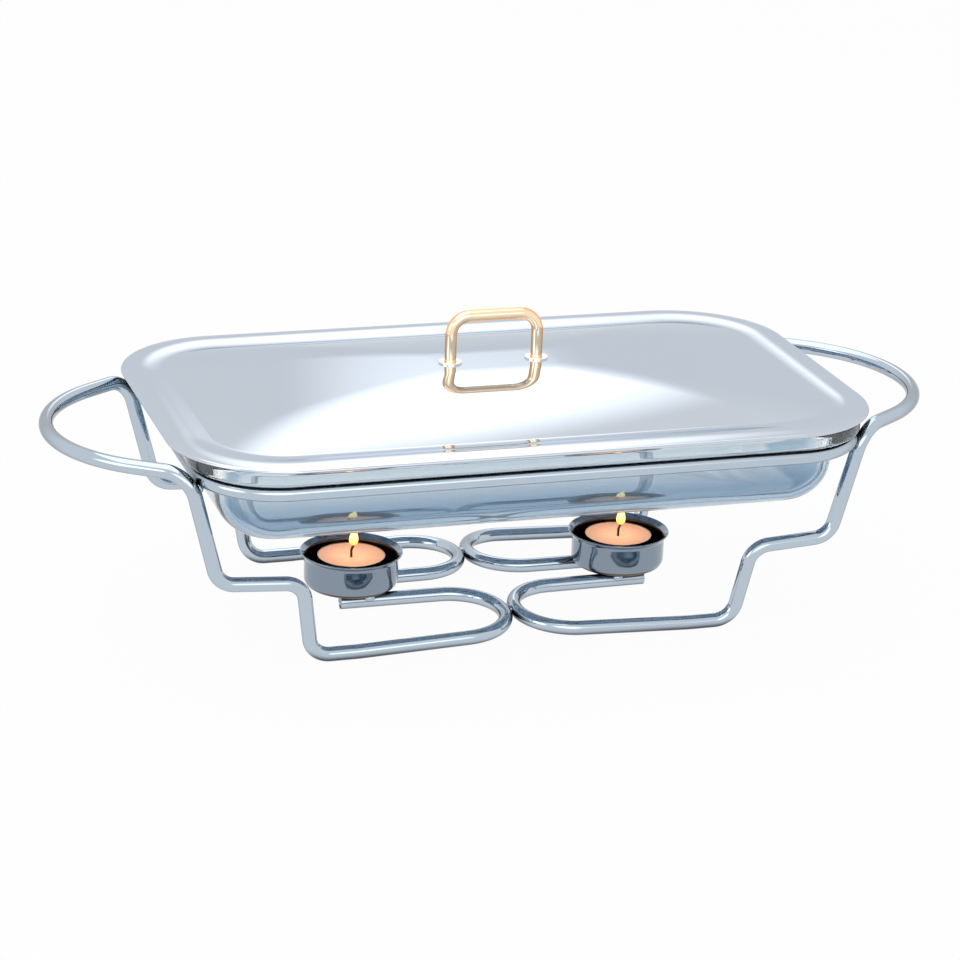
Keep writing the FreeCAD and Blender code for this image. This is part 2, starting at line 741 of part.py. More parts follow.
document.recompute()
for item in document.Objects:
    if "Invalid" in item.State or "Error" in item.State:
        raise RuntimeError("%s failed" % item.Label)
for label, feature in nodes.items():
    shape = feature.Shape
    if shape.isNull() or not shape.isValid() or not shape.Solids:
        raise RuntimeError("%s has no valid solid" % label)
os.makedirs("parts", exist_ok=True)
for label, feature in nodes.items():
    feature.Shape.exportStep("parts/%s.step" % label)
    print(label, len(feature.Shape.Solids), round(feature.Shape.Volume))
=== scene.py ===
"""A glass chafing dish on a bent-rod stand, with a pressed metal lid and two burning tealights.

Lengths are metres. X runs along the dish, Y from front to back and Z up from the tabletop.
"""

import math

import bpy
import numpy as np
from bpy.props import FloatProperty, FloatVectorProperty, PointerProperty
from mathutils import Matrix


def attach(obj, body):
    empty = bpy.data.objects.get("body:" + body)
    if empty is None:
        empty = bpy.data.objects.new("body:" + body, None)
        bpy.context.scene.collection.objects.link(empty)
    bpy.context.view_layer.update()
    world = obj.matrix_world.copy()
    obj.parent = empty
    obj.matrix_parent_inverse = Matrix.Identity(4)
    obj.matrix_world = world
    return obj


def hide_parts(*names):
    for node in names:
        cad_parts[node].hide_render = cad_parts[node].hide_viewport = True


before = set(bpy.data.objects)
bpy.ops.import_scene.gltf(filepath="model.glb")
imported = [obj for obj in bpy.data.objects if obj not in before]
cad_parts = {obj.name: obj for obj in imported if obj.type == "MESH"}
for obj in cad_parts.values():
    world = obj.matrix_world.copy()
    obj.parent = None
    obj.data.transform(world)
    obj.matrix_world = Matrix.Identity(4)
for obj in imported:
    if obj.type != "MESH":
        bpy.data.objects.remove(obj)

bl_info = {
    "name": "Chafing dish",
    "version": (1, 0, 0),
    "blender": (4, 5, 0),
    "location": "3D View > Sidebar > Chafing dish",
    "description": "A glass chafing dish with its rod stand, candle cups, tealights and lid",
    "category": "Add Mesh",
}

MILLIMETRE = 0.001
SIDES = (("left", -1.0), ("right", 1.0))
QUARTERS = ((1, 1), (-1, 1), (-1, -1), (1, -1))
X_AXIS, Y_AXIS, Z_AXIS = np.eye(3)
WHITE = (1.0, 1.0, 1.0)
BLACK = (0.0, 0.0, 0.0)


# Sizes and colours that a user would change


def length(name, millimetres, description):
    """A length property, given in millimetres."""
    value = millimetres * MILLIMETRE
    return FloatProperty(name=name, description=description, default=value, min=0.0, precision=5, unit="LENGTH")


def share(name, value, description):
    """A plain factor property from 0 to 1."""
    return FloatProperty(name=name, description=description, default=value, min=0.0, max=1.0, subtype="FACTOR")


def colour(name, value, description):
    """A linear colour property."""
    return FloatVectorProperty(
        name=name, description=description, default=value, min=0.0, max=1.0, size=3, subtype="COLOR"
    )


class StandSizes(bpy.types.PropertyGroup):
    """The two bent end frames, the rim hoop and their welds."""

    rod: length("Rod diameter", 8, "Diameter of every rod of the stand")
    bend: length("Bend radius", 12, "Centre-line radius of the small bends")
    top_bend: length("Top bend radius", 17, "Centre-line radius of the bend from riser to handle")
    foot_reach: length("Foot reach", 121, "From the middle to the foot corners, along X")
    foot_spread: length("Foot spread", 74.5, "From the middle to the foot corners, along Y")
    foot_flat: length("Level run", 26, "Level run of the outer floor rail beside the foot corner")
    outer_lift: length("Outer rail lift", 3.5, "Rise of the outer floor rail towards the hairpin")
    rail_bend: length("Rail bend radius", 80, "Centre-line radius where the outer floor rail starts to rise")
    inner_spread: length("Inner rail spread", 16.5, "From the middle to the inner rail, along Y")
    inner_toe: length("Inner rail toe", 1, "How far the inner rail runs inwards towards its free end")
    inner_lift: length("Inner rail lift", 5, "Height of the inner rail above one that lies on the table")
    inner_reach: length("Inner rail reach", 89.5, "From the middle to the free end of the inner rail")
    step_height: length("Step height", 49, "Height of the step's centre line")
    step_start: length("Step start", 128, "From the middle to the step's inner corner, along X")
    step_end: length("Step end", 174, "From the middle to the step's outer corner, along X")
    step_start_spread: length("Step start spread", 81.5, "From the middle to the step's inner corner, along Y")
    step_end_spread: length("Step end spread", 81, "From the middle to the step's outer corner, along Y")
    step_rise: length("Step rise", 2.8, "How much higher the step's outer corner is")
    handle_height: length("Handle height", 115, "Height of the side handles' centre line")
    handle_reach: length("Handle reach", 248.8, "From the middle to the tip of a side handle")
    handle_width: length("Handle half width", 65.6, "From the middle to the ends of a side handle's round part")
    round_share: share("Round share", 0.583, "Share of a side handle's depth that its round part takes")
    hoop_length: length("Hoop half length", 183.5, "Rim hoop, from the middle to its end rod")
    hoop_width: length("Hoop half width", 111, "Rim hoop, from the middle to its side rod")
    hoop_corner: length("Hoop corner", 42, "Centre-line radius of the rim hoop's corners")
    hoop_height: length("Hoop height", 111, "Height of the rim hoop's centre line")
    end_depth: length("End depth", 1, "How deep the rods' free ends are dished, inside their sloped rims")
    weld: length("Weld size", 3, "Radius of the weld beads")
    weld_gap: length("Weld gap", 0.05, "Between a riser and the hoop beside their weld")


class CupSizes(bpy.types.PropertyGroup):
    """The pressed cups that hold the tealights."""

    offset: length("Cup offset", 79.3, "From the middle to a cup's axis")
    radius: length("Cup radius", 26.5, "Outside of a cup's wall")
    lip: length("Lip radius", 29.5, "Outside of a cup's flared lip")
    depth: length("Cup depth", 20.5, "Height of a cup")
    flare: length("Flare height", 3, "Height of the flared lip")
    sheet: length("Cup sheet", 1, "Sheet thickness of a cup")
    floor_round: length("Bottom rounding", 5, "Outer radius of a cup's bottom corner")


class TealightSizes(bpy.types.PropertyGroup):
    """Can, wax, wick and flame."""

    radius: length("Can radius", 19, "Outside of a tealight's can")
    depth: length("Can depth", 16.8, "Height of a tealight's can")
    sheet: length("Can sheet", 0.4, "Sheet thickness of a can")
    wax_depth: length("Wax depth", 16.2, "Depth of the wax")
    wick: length("Wick radius", 0.7, "Radius of a wick")
    wick_rise: length("Wick rise", 6.5, "Height of a wick above the wax")
    wick_lean: length("Wick lean", 1.6, "Sideways lean of a wick's tip")
    flame: length("Flame height", 11.5, "Height of a flame")
    flame_width: length("Flame width", 5.6, "Width of a flame")


class DishSizes(bpy.types.PropertyGroup):
    """The glass pan."""

    gap: length("Running gap", 0.3, "Between the glass rim and what lies under and over it")
    depth: length("Dish depth", 49.5, "Height of the glass dish")
    rim_height: length("Rim height", 9.5, "Height of the glass rim")
    overhang: length("Rim overhang", 5, "How far the glass rim passes the hoop's centre line")
    inset: length("Wall inset", 6, "From the hoop's centre line to the glass wall, under the rim")
    taper: length("Wall taper", 7, "How much the glass wall leans inwards down to the floor")
    floor_round: length("Floor rounding", 23.5, "Outer radius between the glass floor and wall")
    glass: length("Glass thickness", 5, "Thickness of the glass")
    rim_round: length("Rim rounding", 3, "Rounding of the glass rim's edges")


class LidSizes(bpy.types.PropertyGroup):
    """The pressed lid and its handle."""

    half_length: length("Lid half length", 197, "From the middle to the lid's end edge")
    half_width: length("Lid half width", 119.5, "From the middle to the lid's side edge")
    corner: length("Lid corner", 62, "Radius of the lid's corners")
    sheet: length("Lid sheet", 1, "Sheet thickness of the lid")
    lip: length("Lid lip", 1.4, "How far the lid's edge hangs below the valley")
    crest: length("Lid crest", 1, "Height of the border's crest above the valley")
    roll: length("Lid roll", 40, "Outer radius of the border's broad crest")
    edge_round: length("Lid edge rounding", 1.6, "Outer radius of the lid's turned-down edge")
    valley: length("Border width", 24, "Width of the border, from the lid's edge to the panel")
    dome: length("Dome rise", 14.4, "Rise of the panel to its middle")
    arch_rod: length("Arch rod", 6.5, "Diameter of the lid handle's rod")
    arch_span: length("Arch span", 50, "Between the two feet of the lid handle")
    arch_height: length("Arch height", 29.5, "Height of the lid handle")
    arch_bend: length("Arch bend", 10.5, "Centre-line radius of the lid handle's corners")
    collar: length("Collar radius", 6.5, "Outside of a handle collar")
    collar_height: length("Collar height", 1, "Height of a handle collar")


class Finishes(bpy.types.PropertyGroup):
    """Colours of the metals, the glass and the tealights."""

    chrome: colour("Chrome", (0.48, 0.56, 0.64), "Plated rods of the stand")
    # Painted shade: the rods' colour where they turn away from the view.
    chrome_shaded_edge: colour("Chrome edge", (0.09, 0.11, 0.14), "Plated rods, where they turn away")
    cup_chrome: colour("Cup chrome", (0.24, 0.29, 0.35), "Plated outside of the cups")
    # Painted shade: the dark tint of the cups' inside stands for the shade within them.
    cup_inside_shade: colour("Cup inside", (0.13, 0.085, 0.055), "Heat-darkened inside of the cups")
    lid: colour("Lid steel", (0.58, 0.625, 0.69), "Polished steel of the lid")
    # Painted highlight and shade: the handle is cream where it faces the view and orange-brown where it turns away.
    brass: colour("Brass", (1.0, 0.78, 0.54), "Plated lid handle")
    brass_shaded_edge: colour("Brass edge", (0.86, 0.38, 0.11), "Plated lid handle, where it turns away")
    collar: colour("Collar", (0.95, 0.90, 0.85), "Collars of the lid handle")
    glass: colour("Glass", (0.93, 0.975, 1.0), "Tint of the glass at its rim")
    # Painted shade: the glass is tinted darker towards its foot.
    glass_foot_shade: colour("Glass foot", (0.38, 0.52, 0.65), "Tint of the glass at its foot")
    aluminium: colour("Aluminium", (0.50, 0.42, 0.36), "Cans of the tealights")
    fastener: colour("Fastener steel", (0.55, 0.57, 0.60), "Screws and washers under the lid")
    wax: colour("Wax", (0.94, 0.50, 0.30), "Warm wax")
    wick: colour("Wick", (0.02, 0.015, 0.012), "Charred wick")
    flame: colour("Flame", (1.0, 0.46, 0.09), "Foot of a flame")
    flame_tip: colour("Flame tip", (1.0, 0.62, 0.22), "Upper part of a flame")
    glow: colour("Glow", (1.0, 0.56, 0.26), "Light that a flame gives")


class ChafingDish(bpy.types.PropertyGroup):
    """All sizes and finishes of the chafing dish."""

    stand: PointerProperty(type=StandSizes)
    cup: PointerProperty(type=CupSizes)
    tealight: PointerProperty(type=TealightSizes)
    dish: PointerProperty(type=DishSizes)
    lid: PointerProperty(type=LidSizes)
    finish: PointerProperty(type=Finishes)


# Vectors, paths and outlines


ARC_STATION = 0.0015  # the longest step along a bend
END_RINGS = 6  # rings that shape a rod's free end


def at(x, y, z):
    """A point as an array."""
    return np.array([x, y, z], float)


def unit(vector):
    """A vector divided by its own length."""
    return vector / np.linalg.norm(vector)


def turned(vectors, axis, angles):
    """Vectors v turned about a unit axis k: v times the cosine, plus k x v times the sine, plus k's share of v
    times one minus the cosine."""
    cosine = np.cos(angles)[:, None]
    sine = np.sin(angles)[:, None]
    along = (vectors @ axis)[..., None] * axis
    return vectors * cosine + np.cross(axis, vectors) * sine + along * (1 - cosine)


def bent_path(points, radii, side, grain=0.004, fine=0.06):
    """Stations along straight runs joined by tangent arcs: places, directions and one side vector each.

    A corner that turns by an angle leaves and meets its runs at the radius times the tangent of half the angle
    from it. Along the arc, place, direction and side vector all turn about the arc's own axis, so the section
    that is carried never twists. Runs have a station every grain. Arcs have one every fine radians, and closer
    where the arc is so large that they would be more than the arc station apart.
    """

    def straight(start, end, way, side, whole=False):
        count = max(2, round(np.linalg.norm(end - start) / grain))
        steps = np.linspace(0, 1, count, endpoint=whole)[:, None]
        return start + (end - start) * steps, np.tile(way, (count, 1)), np.tile(side, (count, 1))

    parts = []
    start = points[0]
    for corner, after, radius in zip(points[1:-1], points[2:], radii):
        way, ahead = unit(corner - start), unit(after - corner)
        axis = np.cross(way, ahead)
        turn = math.atan2(np.linalg.norm(axis), way @ ahead)
        axis = unit(axis)
        first = corner - way * radius * math.tan(turn / 2)
        parts.append(straight(start, first, way, side))
        angles = np.linspace(0, turn, max(4, round(turn / fine), round(turn * radius / ARC_STATION)) + 1)
        centre = first + np.cross(axis, way) * radius
        spokes, ways, sides = (turned(vector[None], axis, angles) for vector in (first - centre, way, side))
        arc = centre + spokes
        parts.append((arc[:-1], ways[:-1], sides[:-1]))
        start, side = arc[-1], sides[-1]
    parts.append(straight(start, points[-1], unit(points[-1] - start), side, whole=True))
    return [np.concatenate(values) for values in zip(*parts)]


def outline(corners, fine=0.12):
    """A flat outline of (across, height, radius) corners, each rounded by its own radius, as an array of points.

    Each rounding is the arc that touches both neighbouring sides, at the radius times the tangent of half the
    turn from its corner. The first and last corners stay sharp.
    """
    corners = np.array(corners, float)
    places, radii = corners[:, :2], corners[:, 2]
    points = [places[0]]
    for before, corner, after, radius in zip(places, places[1:], places[2:], radii[1:]):
        if radius <= 0:
            points.append(corner)
            continue
        back, ahead = unit(before - corner), unit(after - corner)
        turn = math.pi - math.acos(np.clip(back @ ahead, -1, 1))
        centre = corner + unit(back + ahead) * (radius / math.cos(turn / 2))
        x, y = corner + back * (radius * math.tan(turn / 2)) - centre
        sign = math.copysign(1, back[1] * ahead[0] - back[0] * ahead[1])
        angles = np.linspace(0, turn, max(3, round(turn / fine)) + 1) * sign
        cosine, sine = np.cos(angles), np.sin(angles)
        points.extend(centre + np.stack([x * cosine - y * sine, x * sine + y * cosine], 1))
    points.append(places[-1])
    return np.array(points)


def denser(points, spacing):
    """An outline with its long straight sides divided, so that no step is longer than the spacing."""
    steps = np.linalg.norm(np.diff(points, axis=0), axis=1)
    reached = np.concatenate([[0], np.cumsum(steps)])
    counts = np.maximum(1, np.ceil(steps / spacing)).astype(int)
    marks = [np.linspace(a, b, n, endpoint=False) for a, b, n in zip(reached[:-1], reached[1:], counts)]
    marks = np.concatenate(marks + [reached[-1:]])
    return np.stack([np.interp(marks, reached, points[:, i]) for i in range(2)], 1)


def round_z(angles):
    """Unit vectors at these angles round Z."""
    return np.stack([np.cos(angles), np.sin(angles), angles * 0], 1)


def rounded_core(half_length, half_width, corner, per_corner=24, spacing=0.006):
    """A rounded rectangle, split into a core and an outward direction for each place round it.

    Along a straight side the core runs along the inner rectangle, whose corners are the centres of the rounded
    ones, and the direction stays; round a corner the core stays and the direction turns. A place at any
    distance is the core plus the direction times that distance, so every inset outline keeps its places.
    """
    cores, directions = [], []
    inner = at(half_length - corner, half_width - corner, 0)
    for i, (along, across) in enumerate(QUARTERS):
        centre = inner * (along, across, 0)
        following = inner * (*QUARTERS[(i + 1) % 4], 0)
        turns = round_z((i + np.linspace(0, 1, per_corner + 1)) * math.pi / 2)
        count = max(2, round(np.linalg.norm(following - centre) / spacing))
        steps = np.linspace(0, 1, count + 1)[1:-1, None]
        cores += [np.tile(centre, (len(turns), 1)), centre + (following - centre) * steps]
        directions += [turns, np.tile(turns[-1], (len(steps), 1))]
    return np.concatenate(cores), np.concatenate(directions)


def swept(core, directions, reach, height):
    """Rings of places: for each reach and height, the core plus the reach along the directions and the height
    along Z."""
    return core + reach[:, None, None] * directions + height[:, None, None] * Z_AXIS


def lathe(profile, centre, sections=96):
    """Rings of a turned piece: each point of the profile, at its own radius and height, goes once round Z."""
    return swept(np.asarray(centre), round_z(np.linspace(0, math.tau, sections, endpoint=False)), *profile.T)


def tube(path, radius, sections=48, end_depth=0.0):
    """Rings round a path: at each station the ring is the place plus the radius times the cosine of the angle
    along the side vector and the sine along the upward one. With an end depth, each free end is dished by it,
    and its rim, a little narrower than the rod, slopes out to the full radius over the same length."""
    places, ways, sides = path
    radii = np.full(len(places), radius)
    if end_depth > 0:
        lean = np.sin(np.linspace(0, math.pi / 2, END_RINGS)[:-1])
        depth = np.append(end_depth * (1 - lean), end_depth)[:, None]
        rim = np.append(radius - end_depth + end_depth * lean, radius)
        last = len(places) - 1
        kept = np.concatenate([np.full(END_RINGS, 0), np.arange(1, last), np.full(END_RINGS, last)])
        places, ways, sides, radii = places[kept], ways[kept], sides[kept], radii[kept]
        places[:END_RINGS] += ways[:END_RINGS] * depth
        places[-END_RINGS:] -= ways[-END_RINGS:] * depth[::-1]
        radii[:END_RINGS], radii[-END_RINGS:] = rim, rim[::-1]
    ups = np.cross(ways, sides)
    angles = np.linspace(0, math.tau, sections, endpoint=False)
    ring = np.cos(angles)[:, None] * sides[:, None] + np.sin(angles)[:, None] * ups[:, None]
    return places[:, None] + radii[:, None, None] * ring


# Objects and meshes


def placed(name, data, matrix):
    """A new object of the scene, at its place and turn."""
    made = bpy.data.objects.new(name, data)
    bpy.context.scene.collection.objects.link(made)
    made.matrix_world = matrix
    return made


def skin(rings, looped=False):
    """Vertices and faces of a surface through rings of points, each closed on itself. A looped surface joins
    its last ring to its first; in any other, both are closed by fans to their middles."""
    count, around = rings.shape[:2]
    vertices = rings.reshape(-1, 3)
    row = np.arange(count if looped else count - 1)[:, None] * around
    following = np.roll(np.arange(count), -1)[: len(row), None] * around
    column = np.arange(around)
    beside = np.roll(column, -1)
    quads = np.stack([row + column, row + beside, following + beside, following + column], -1).reshape(-1, 4)
    faces = quads.tolist()
    if not looped:
        ends = np.stack([rings[0].mean(0), rings[-1].mean(0)])
        low, high = len(vertices), len(vertices) + 1
        last = (count - 1) * around
        vertices = np.concatenate([vertices, ends])
        faces += np.stack([np.full(around, low), beside, column], -1).tolist()
        faces += np.stack([np.full(around, high), last + column, last + beside], -1).tolist()
    return vertices, faces


def outward(vertices, faces):
    """The faces, turned round if the volume that they enclose comes out negative. The volume is a sixth of the
    sum, over fans of triangles, of each corner's triple product."""
    total = 0.0
    for size in (3, 4):
        group = np.array([face for face in faces if len(face) == size], int).reshape(-1, size)
        for second in range(1, size - 1):
            a, b, c = (vertices[group[:, k]] for k in (0, second, second + 1))
            total += np.einsum("ij,ij->", a, np.cross(b, c))
    return faces if total > 0 else [face[::-1] for face in faces]


def piece(name, skins, body, materials, replaced=(), banding=None, crease=40):
    """A smooth mesh object from one or more closed skins, riding on a body.

    banding, if given, maps face centres to indices of the materials. Edges sharper than the crease, in
    degrees, stay sharp.
    """
    vertices, faces = [], []
    offset = 0
    for points, polygons in skins:
        vertices.append(points)
        faces += [[offset + index for index in polygon] for polygon in outward(points, polygons)]
        offset += len(points)
    mesh = bpy.data.meshes.new(name)
    mesh.from_pydata(np.concatenate(vertices).tolist(), [], faces)
    for material in materials:
        mesh.materials.append(material)
    mesh.polygons.foreach_set("use_smooth", np.ones(len(mesh.polygons), bool))
    mesh.set_sharp_from_angle(angle=math.radians(crease))
    if banding:
        centres = np.empty(len(mesh.polygons) * 3, np.float32)
        mesh.polygons.foreach_get("center", centres)
        mesh.polygons.foreach_set("material_index", banding(centres.reshape(-1, 3)).astype(np.int32))
    mesh.update()
    made = placed(name, mesh, Matrix())
    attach(made, body)
    if replaced:
        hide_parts(*replaced)
    return made


def dress(node, material):
    """Gives a CAD node a material of its own."""
    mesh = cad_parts[node].data
    mesh.materials.clear()
    mesh.materials.append(material)


# Nodes


def fill(tree, socket, value):
    """Links an input to another node's output, or gives it a number, a vector or a colour."""
    if isinstance(value, bpy.types.NodeSocket):
        tree.links.new(value, socket)
    else:
        socket.default_value = (*value, 1) if socket.type == "RGBA" else value


def adjust(tree, node, **values):
    """Sets a node's properties and inputs by name, with an underscore for each space."""
    for name, value in values.items():
        if hasattr(node, name):
            setattr(node, name, value)
        else:
            fill(tree, node.inputs[name.replace("_", " ")], value)


def add_node(tree, kind, *inputs, **values):
    """A new node. The values set its properties and inputs by name, and then the inputs fill its first ones."""
    node = tree.nodes.new(kind)
    adjust(tree, node, **values)
    for socket, value in zip(node.inputs, inputs):
        fill(tree, socket, value)
    return node


def fresh_tree(owner):
    """The emptied node tree of a material or a world."""
    owner.use_nodes = True
    owner.node_tree.nodes.clear()
    return owner.node_tree


def own_place(tree):
    """The piece's own coordinates."""
    return add_node(tree, "ShaderNodeTexCoord").outputs["Object"]


def upward(tree, vector):
    """The part of a vector along Z."""
    return add_node(tree, "ShaderNodeSeparateXYZ", Vector=vector).outputs["Z"]


def ranged(tree, source, low, high, first=0.0, last=1.0, **values):
    """The source brought from the range between low and high to the one between first and last."""
    ends = {"From_Min": low, "From_Max": high, "To_Min": first, "To_Max": last}
    return add_node(tree, "ShaderNodeMapRange", Value=source, **ends, **values).outputs[0]


def eased(tree, source, low, high):
    """The source eased from 0 at the low value to 1 at the high one. Either may be the greater number."""
    ends = (low, high, 0.0, 1.0) if low < high else (high, low, 1.0, 0.0)
    return ranged(tree, source, *ends, interpolation_type="SMOOTHSTEP")


def calculated(tree, operation, first, second):
    """One step of arithmetic on two numbers, either of which may be another node's output."""
    return add_node(tree, "ShaderNodeMath", first, second, operation=operation).outputs[0]


def measured(tree, operation, first, second):
    """The number that comes out of a step of arithmetic on two vectors."""
    return add_node(tree, "ShaderNodeVectorMath", first, second, operation=operation).outputs["Value"]


def object_noise(tree, scale, detail=3.0, roughness=0.5, stretch=None):
    """Noise on the piece's own coordinates, stretched by a vector if one is given."""
    where = own_place(tree)
    if stretch:
        where = add_node(tree, "ShaderNodeMapping", Vector=where, Scale=stretch).outputs[0]
    noise = add_node(tree, "ShaderNodeTexNoise", Vector=where, Scale=scale, Detail=detail, Roughness=roughness)
    return noise.outputs["Fac"]


def mixed(tree, factor, first, second):
    """A colour between two colours or colour sources."""
    node = add_node(tree, "ShaderNodeMix", data_type="RGBA", Factor=factor, A=first, B=second)
    return node.outputs["Result"]


def banded(tree, source, stops):
    """A colour that runs through (position, colour) stops along the source."""
    node = add_node(tree, "ShaderNodeValToRGB", Fac=source)
    elements = node.color_ramp.elements
    for element, (position, value) in zip(elements, (stops[0], stops[-1])):
        element.position, element.color = position, (*value, 1)
    for position, value in stops[1:-1]:
        elements.new(position).color = (*value, 1)
    return node.outputs[0]


def layered(tree, factor, first, second):
    """One shader over another, by the factor."""
    return add_node(tree, "ShaderNodeMixShader", factor, first.outputs[0], second.outputs[0])


def emission(tree, strength=1.0):
    """A white glow."""
    return add_node(tree, "ShaderNodeEmission", Color=WHITE, Strength=strength)


# Materials


NOISE_REACH = (0.3, 0.7)  # nearly all of a noise's values lie between these

# Painted shade: near other pieces, the metal's tint is darkened to a share of itself, by how much sky it sees.
OPEN_SKY = (0.25, 0.85)  # from a closed crevice to an open place, as shares of the sky that it sees
PAINTED_CREVICE_SHADE = 0.06  # what a crevice keeps of the metal's tint

# Painted shade of the glass: darker towards the foot, paler in the flat floor.
FOOT_BAND = 0.34  # the glass wall has its foot's tint up to this share of its height
RIM_BAND = 0.7  # and its rim's from this share on
LEVEL = (0.93, 0.99)  # the upward parts of the normals between which a glass wall becomes a floor
NEAR_FLOOR = (0.3, 0.15)  # shares of the pan's height between which that counts
FLOOR_PALING = 0.35  # power that makes the foot's tint the floor's

WAX_LOW = (0.34, 1.25)  # factor and power that make the wax's colour its glow, far from the wick
WAX_HIGH = 0.62  # factor beside the wick
WAX_SCATTER = (1.0, 0.55, 0.3)

FLAME_FOOT = (0.9, 0.55, 0.35)  # what the flame's foot keeps of its colour, channel by channel


def scaled(tint, factor, power=1.0):
    """A colour raised to a power and multiplied by a factor."""
    return tuple(factor * value ** power for value in tint)


def new_material(name):
    """An empty node material with its principled shader."""
    material = bpy.data.materials.get(name) or bpy.data.materials.new(name)
    tree = fresh_tree(material)
    shader = add_node(tree, "ShaderNodeBsdfPrincipled")
    add_node(tree, "ShaderNodeOutputMaterial", Surface=shader.outputs[0])
    return material, tree, shader


def bump(tree, height, distance):
    """A normal for small relief from a height."""
    return add_node(tree, "ShaderNodeBump", Strength=1.0, Distance=distance, Height=height).outputs[0]


def metal(name, tint, polish, grain=60.0, relief=0.0, stretch=None, fading=0.97, edge=None, turn=(0.4, 0.95),
          crevice=0.0, fresnel=WHITE):
    """Plated or polished metal. Its roughness drifts a little over the surface, between the two of its polish, and
    so does its tint. It can have a low relief, a painted shade in another colour where it turns away from the view,
    a painted shade that darkens it where other pieces come within the crevice length, and a tint for its glancing
    reflections."""
    material, tree, shader = new_material(name)
    drift = object_noise(tree, grain, stretch=stretch)
    plated = mixed(tree, drift, scaled(tint, fading), tint)
    # Painted shade: ambient occlusion darkens the tint where other pieces come near.
    if crevice > 0:
        sky = add_node(tree, "ShaderNodeAmbientOcclusion", samples=8, Distance=crevice).outputs["AO"]
        plated = mixed(tree, eased(tree, sky, *OPEN_SKY), scaled(tint, PAINTED_CREVICE_SHADE), plated)
    # Painted shade: the tint turns to the edge colour where the surface turns away from the view.
    if edge is not None:
        facing_away = add_node(tree, "ShaderNodeLayerWeight").outputs["Facing"]
        plated = mixed(tree, eased(tree, facing_away, *turn), plated, edge)
    roughness = ranged(tree, drift, *NOISE_REACH, *polish)
    adjust(tree, shader, Metallic=1.0, Base_Color=plated, Roughness=roughness, Specular_Tint=fresnel)
    if relief > 0:
        adjust(tree, shader, Normal=bump(tree, object_noise(tree, grain * 0.4, detail=1.0), distance=relief))
    return material


def clear_glass(name, foot_tint, rim_tint, low, high):
    """Pressed glass with a slowly wavy surface. Its tint is a painted shade: deepest in the bend round the pan's
    foot, just above the low height, paler in the flat floor and palest at the high one."""
    material, tree, shader = new_material(name)
    rise = ranged(tree, upward(tree, own_place(tree)), low, high)
    wall = banded(tree, rise, [(0.0, foot_tint), (FOOT_BAND, foot_tint), (RIM_BAND, rim_tint)])
    normal = add_node(tree, "ShaderNodeNewGeometry").outputs["Normal"]
    level = eased(tree, calculated(tree, "ABSOLUTE", upward(tree, normal), 0.0), *LEVEL)
    flat = calculated(tree, "MULTIPLY", level, eased(tree, rise, *NEAR_FLOOR))
    tint = mixed(tree, flat, wall, scaled(foot_tint, 1, FLOOR_PALING))
    adjust(tree, shader, Base_Color=tint, Transmission_Weight=0.95, IOR=1.47, Roughness=0.0)
    adjust(tree, shader, Normal=bump(tree, object_noise(tree, scale=26.0, detail=1.0), distance=0.00018))
    return material


def candle_wax(name, tint, wick, reach):
    """Warm wax, mottled where it has melted and set again. The flame's light glows under its skin, most round
    the wick's foot and less towards the given reach."""
    material, tree, shader = new_material(name)
    mottle = ranged(tree, object_noise(tree, scale=240.0, detail=4.0, roughness=0.6), *NOISE_REACH)
    pale = tuple(min(1.0, value * 1.08 + 0.02) for value in tint)
    near = eased(tree, measured(tree, "DISTANCE", own_place(tree), wick), reach, 0.0)
    adjust(
        tree, shader, Base_Color=mixed(tree, mottle, tint, pale), Roughness=0.42,
        Subsurface_Weight=0.35, Subsurface_Radius=WAX_SCATTER, Subsurface_Scale=0.004,
        Emission_Color=mixed(tree, near, scaled(tint, *WAX_LOW), scaled(tint, WAX_HIGH)), Emission_Strength=1.0,
        Normal=bump(tree, object_noise(tree, scale=420.0, detail=2.0), distance=0.0001),
    )
    return material


def charred_cotton(name, tint):
    """Burnt cord: dull, with the twist of its strands."""
    material, tree, shader = new_material(name)
    strands = object_noise(tree, scale=900.0, stretch=(1.0, 1.0, 0.3))
    ash = mixed(tree, strands, tint, scaled(tint, 3))
    adjust(tree, shader, Base_Color=ash, Roughness=0.9, Normal=bump(tree, strands, distance=0.0004))
    return material


def burning(name, tint, tip, bottom, height, strength):
    """A flame that glows: deep orange at its foot, its own colour above that and pale in its upper part."""
    material, tree, shader = new_material(name)
    rise = ranged(tree, upward(tree, own_place(tree)), bottom, bottom + height)
    foot = tuple(value * kept for value, kept in zip(tint, FLAME_FOOT))
    glow = banded(tree, rise, [(0.0, foot), (0.22, tint), (0.5, tip), (1.0, tip)])
    adjust(
        tree, shader, Base_Color=BLACK, Specular_IOR_Level=0.0, Emission_Color=glow, Emission_Strength=strength
    )
    return material


# Pieces of the stand


HAIRPIN_SHARE = 0.49  # radius of a hairpin's two bends, as a share of the width between its rails
CONTACT_TRIES = 12  # more than enough for the reach to settle
HOOP_BEAD = (0.75, 1, 0.9)  # radii of the weld beads, in weld sizes
CENTRE_BEAD = (0.55, 1, 0.6)
CUP_BEAD = (1, 0.6, 0.6)


def settings(context):
    """The sizes and finishes kept on the scene."""
    return context.scene.chafing_dish


def rod_chrome(name, finish):
    """Bright plating, with painted shade where a rod turns away from the view and where it comes near another piece.
    """
    return metal(name, finish.chrome, (0.025, 0.05), edge=finish.chrome_shaded_edge, crevice=0.012)


def hoop_corners(stand):
    """The four corners of the rim hoop."""
    return [at(x * stand.hoop_length, y * stand.hoop_width, stand.hoop_height) for x, y in QUARTERS]


def rail_top(stand):
    """Height of the top of the inner rails, where the cups stand."""
    return stand.rod + stand.inner_lift


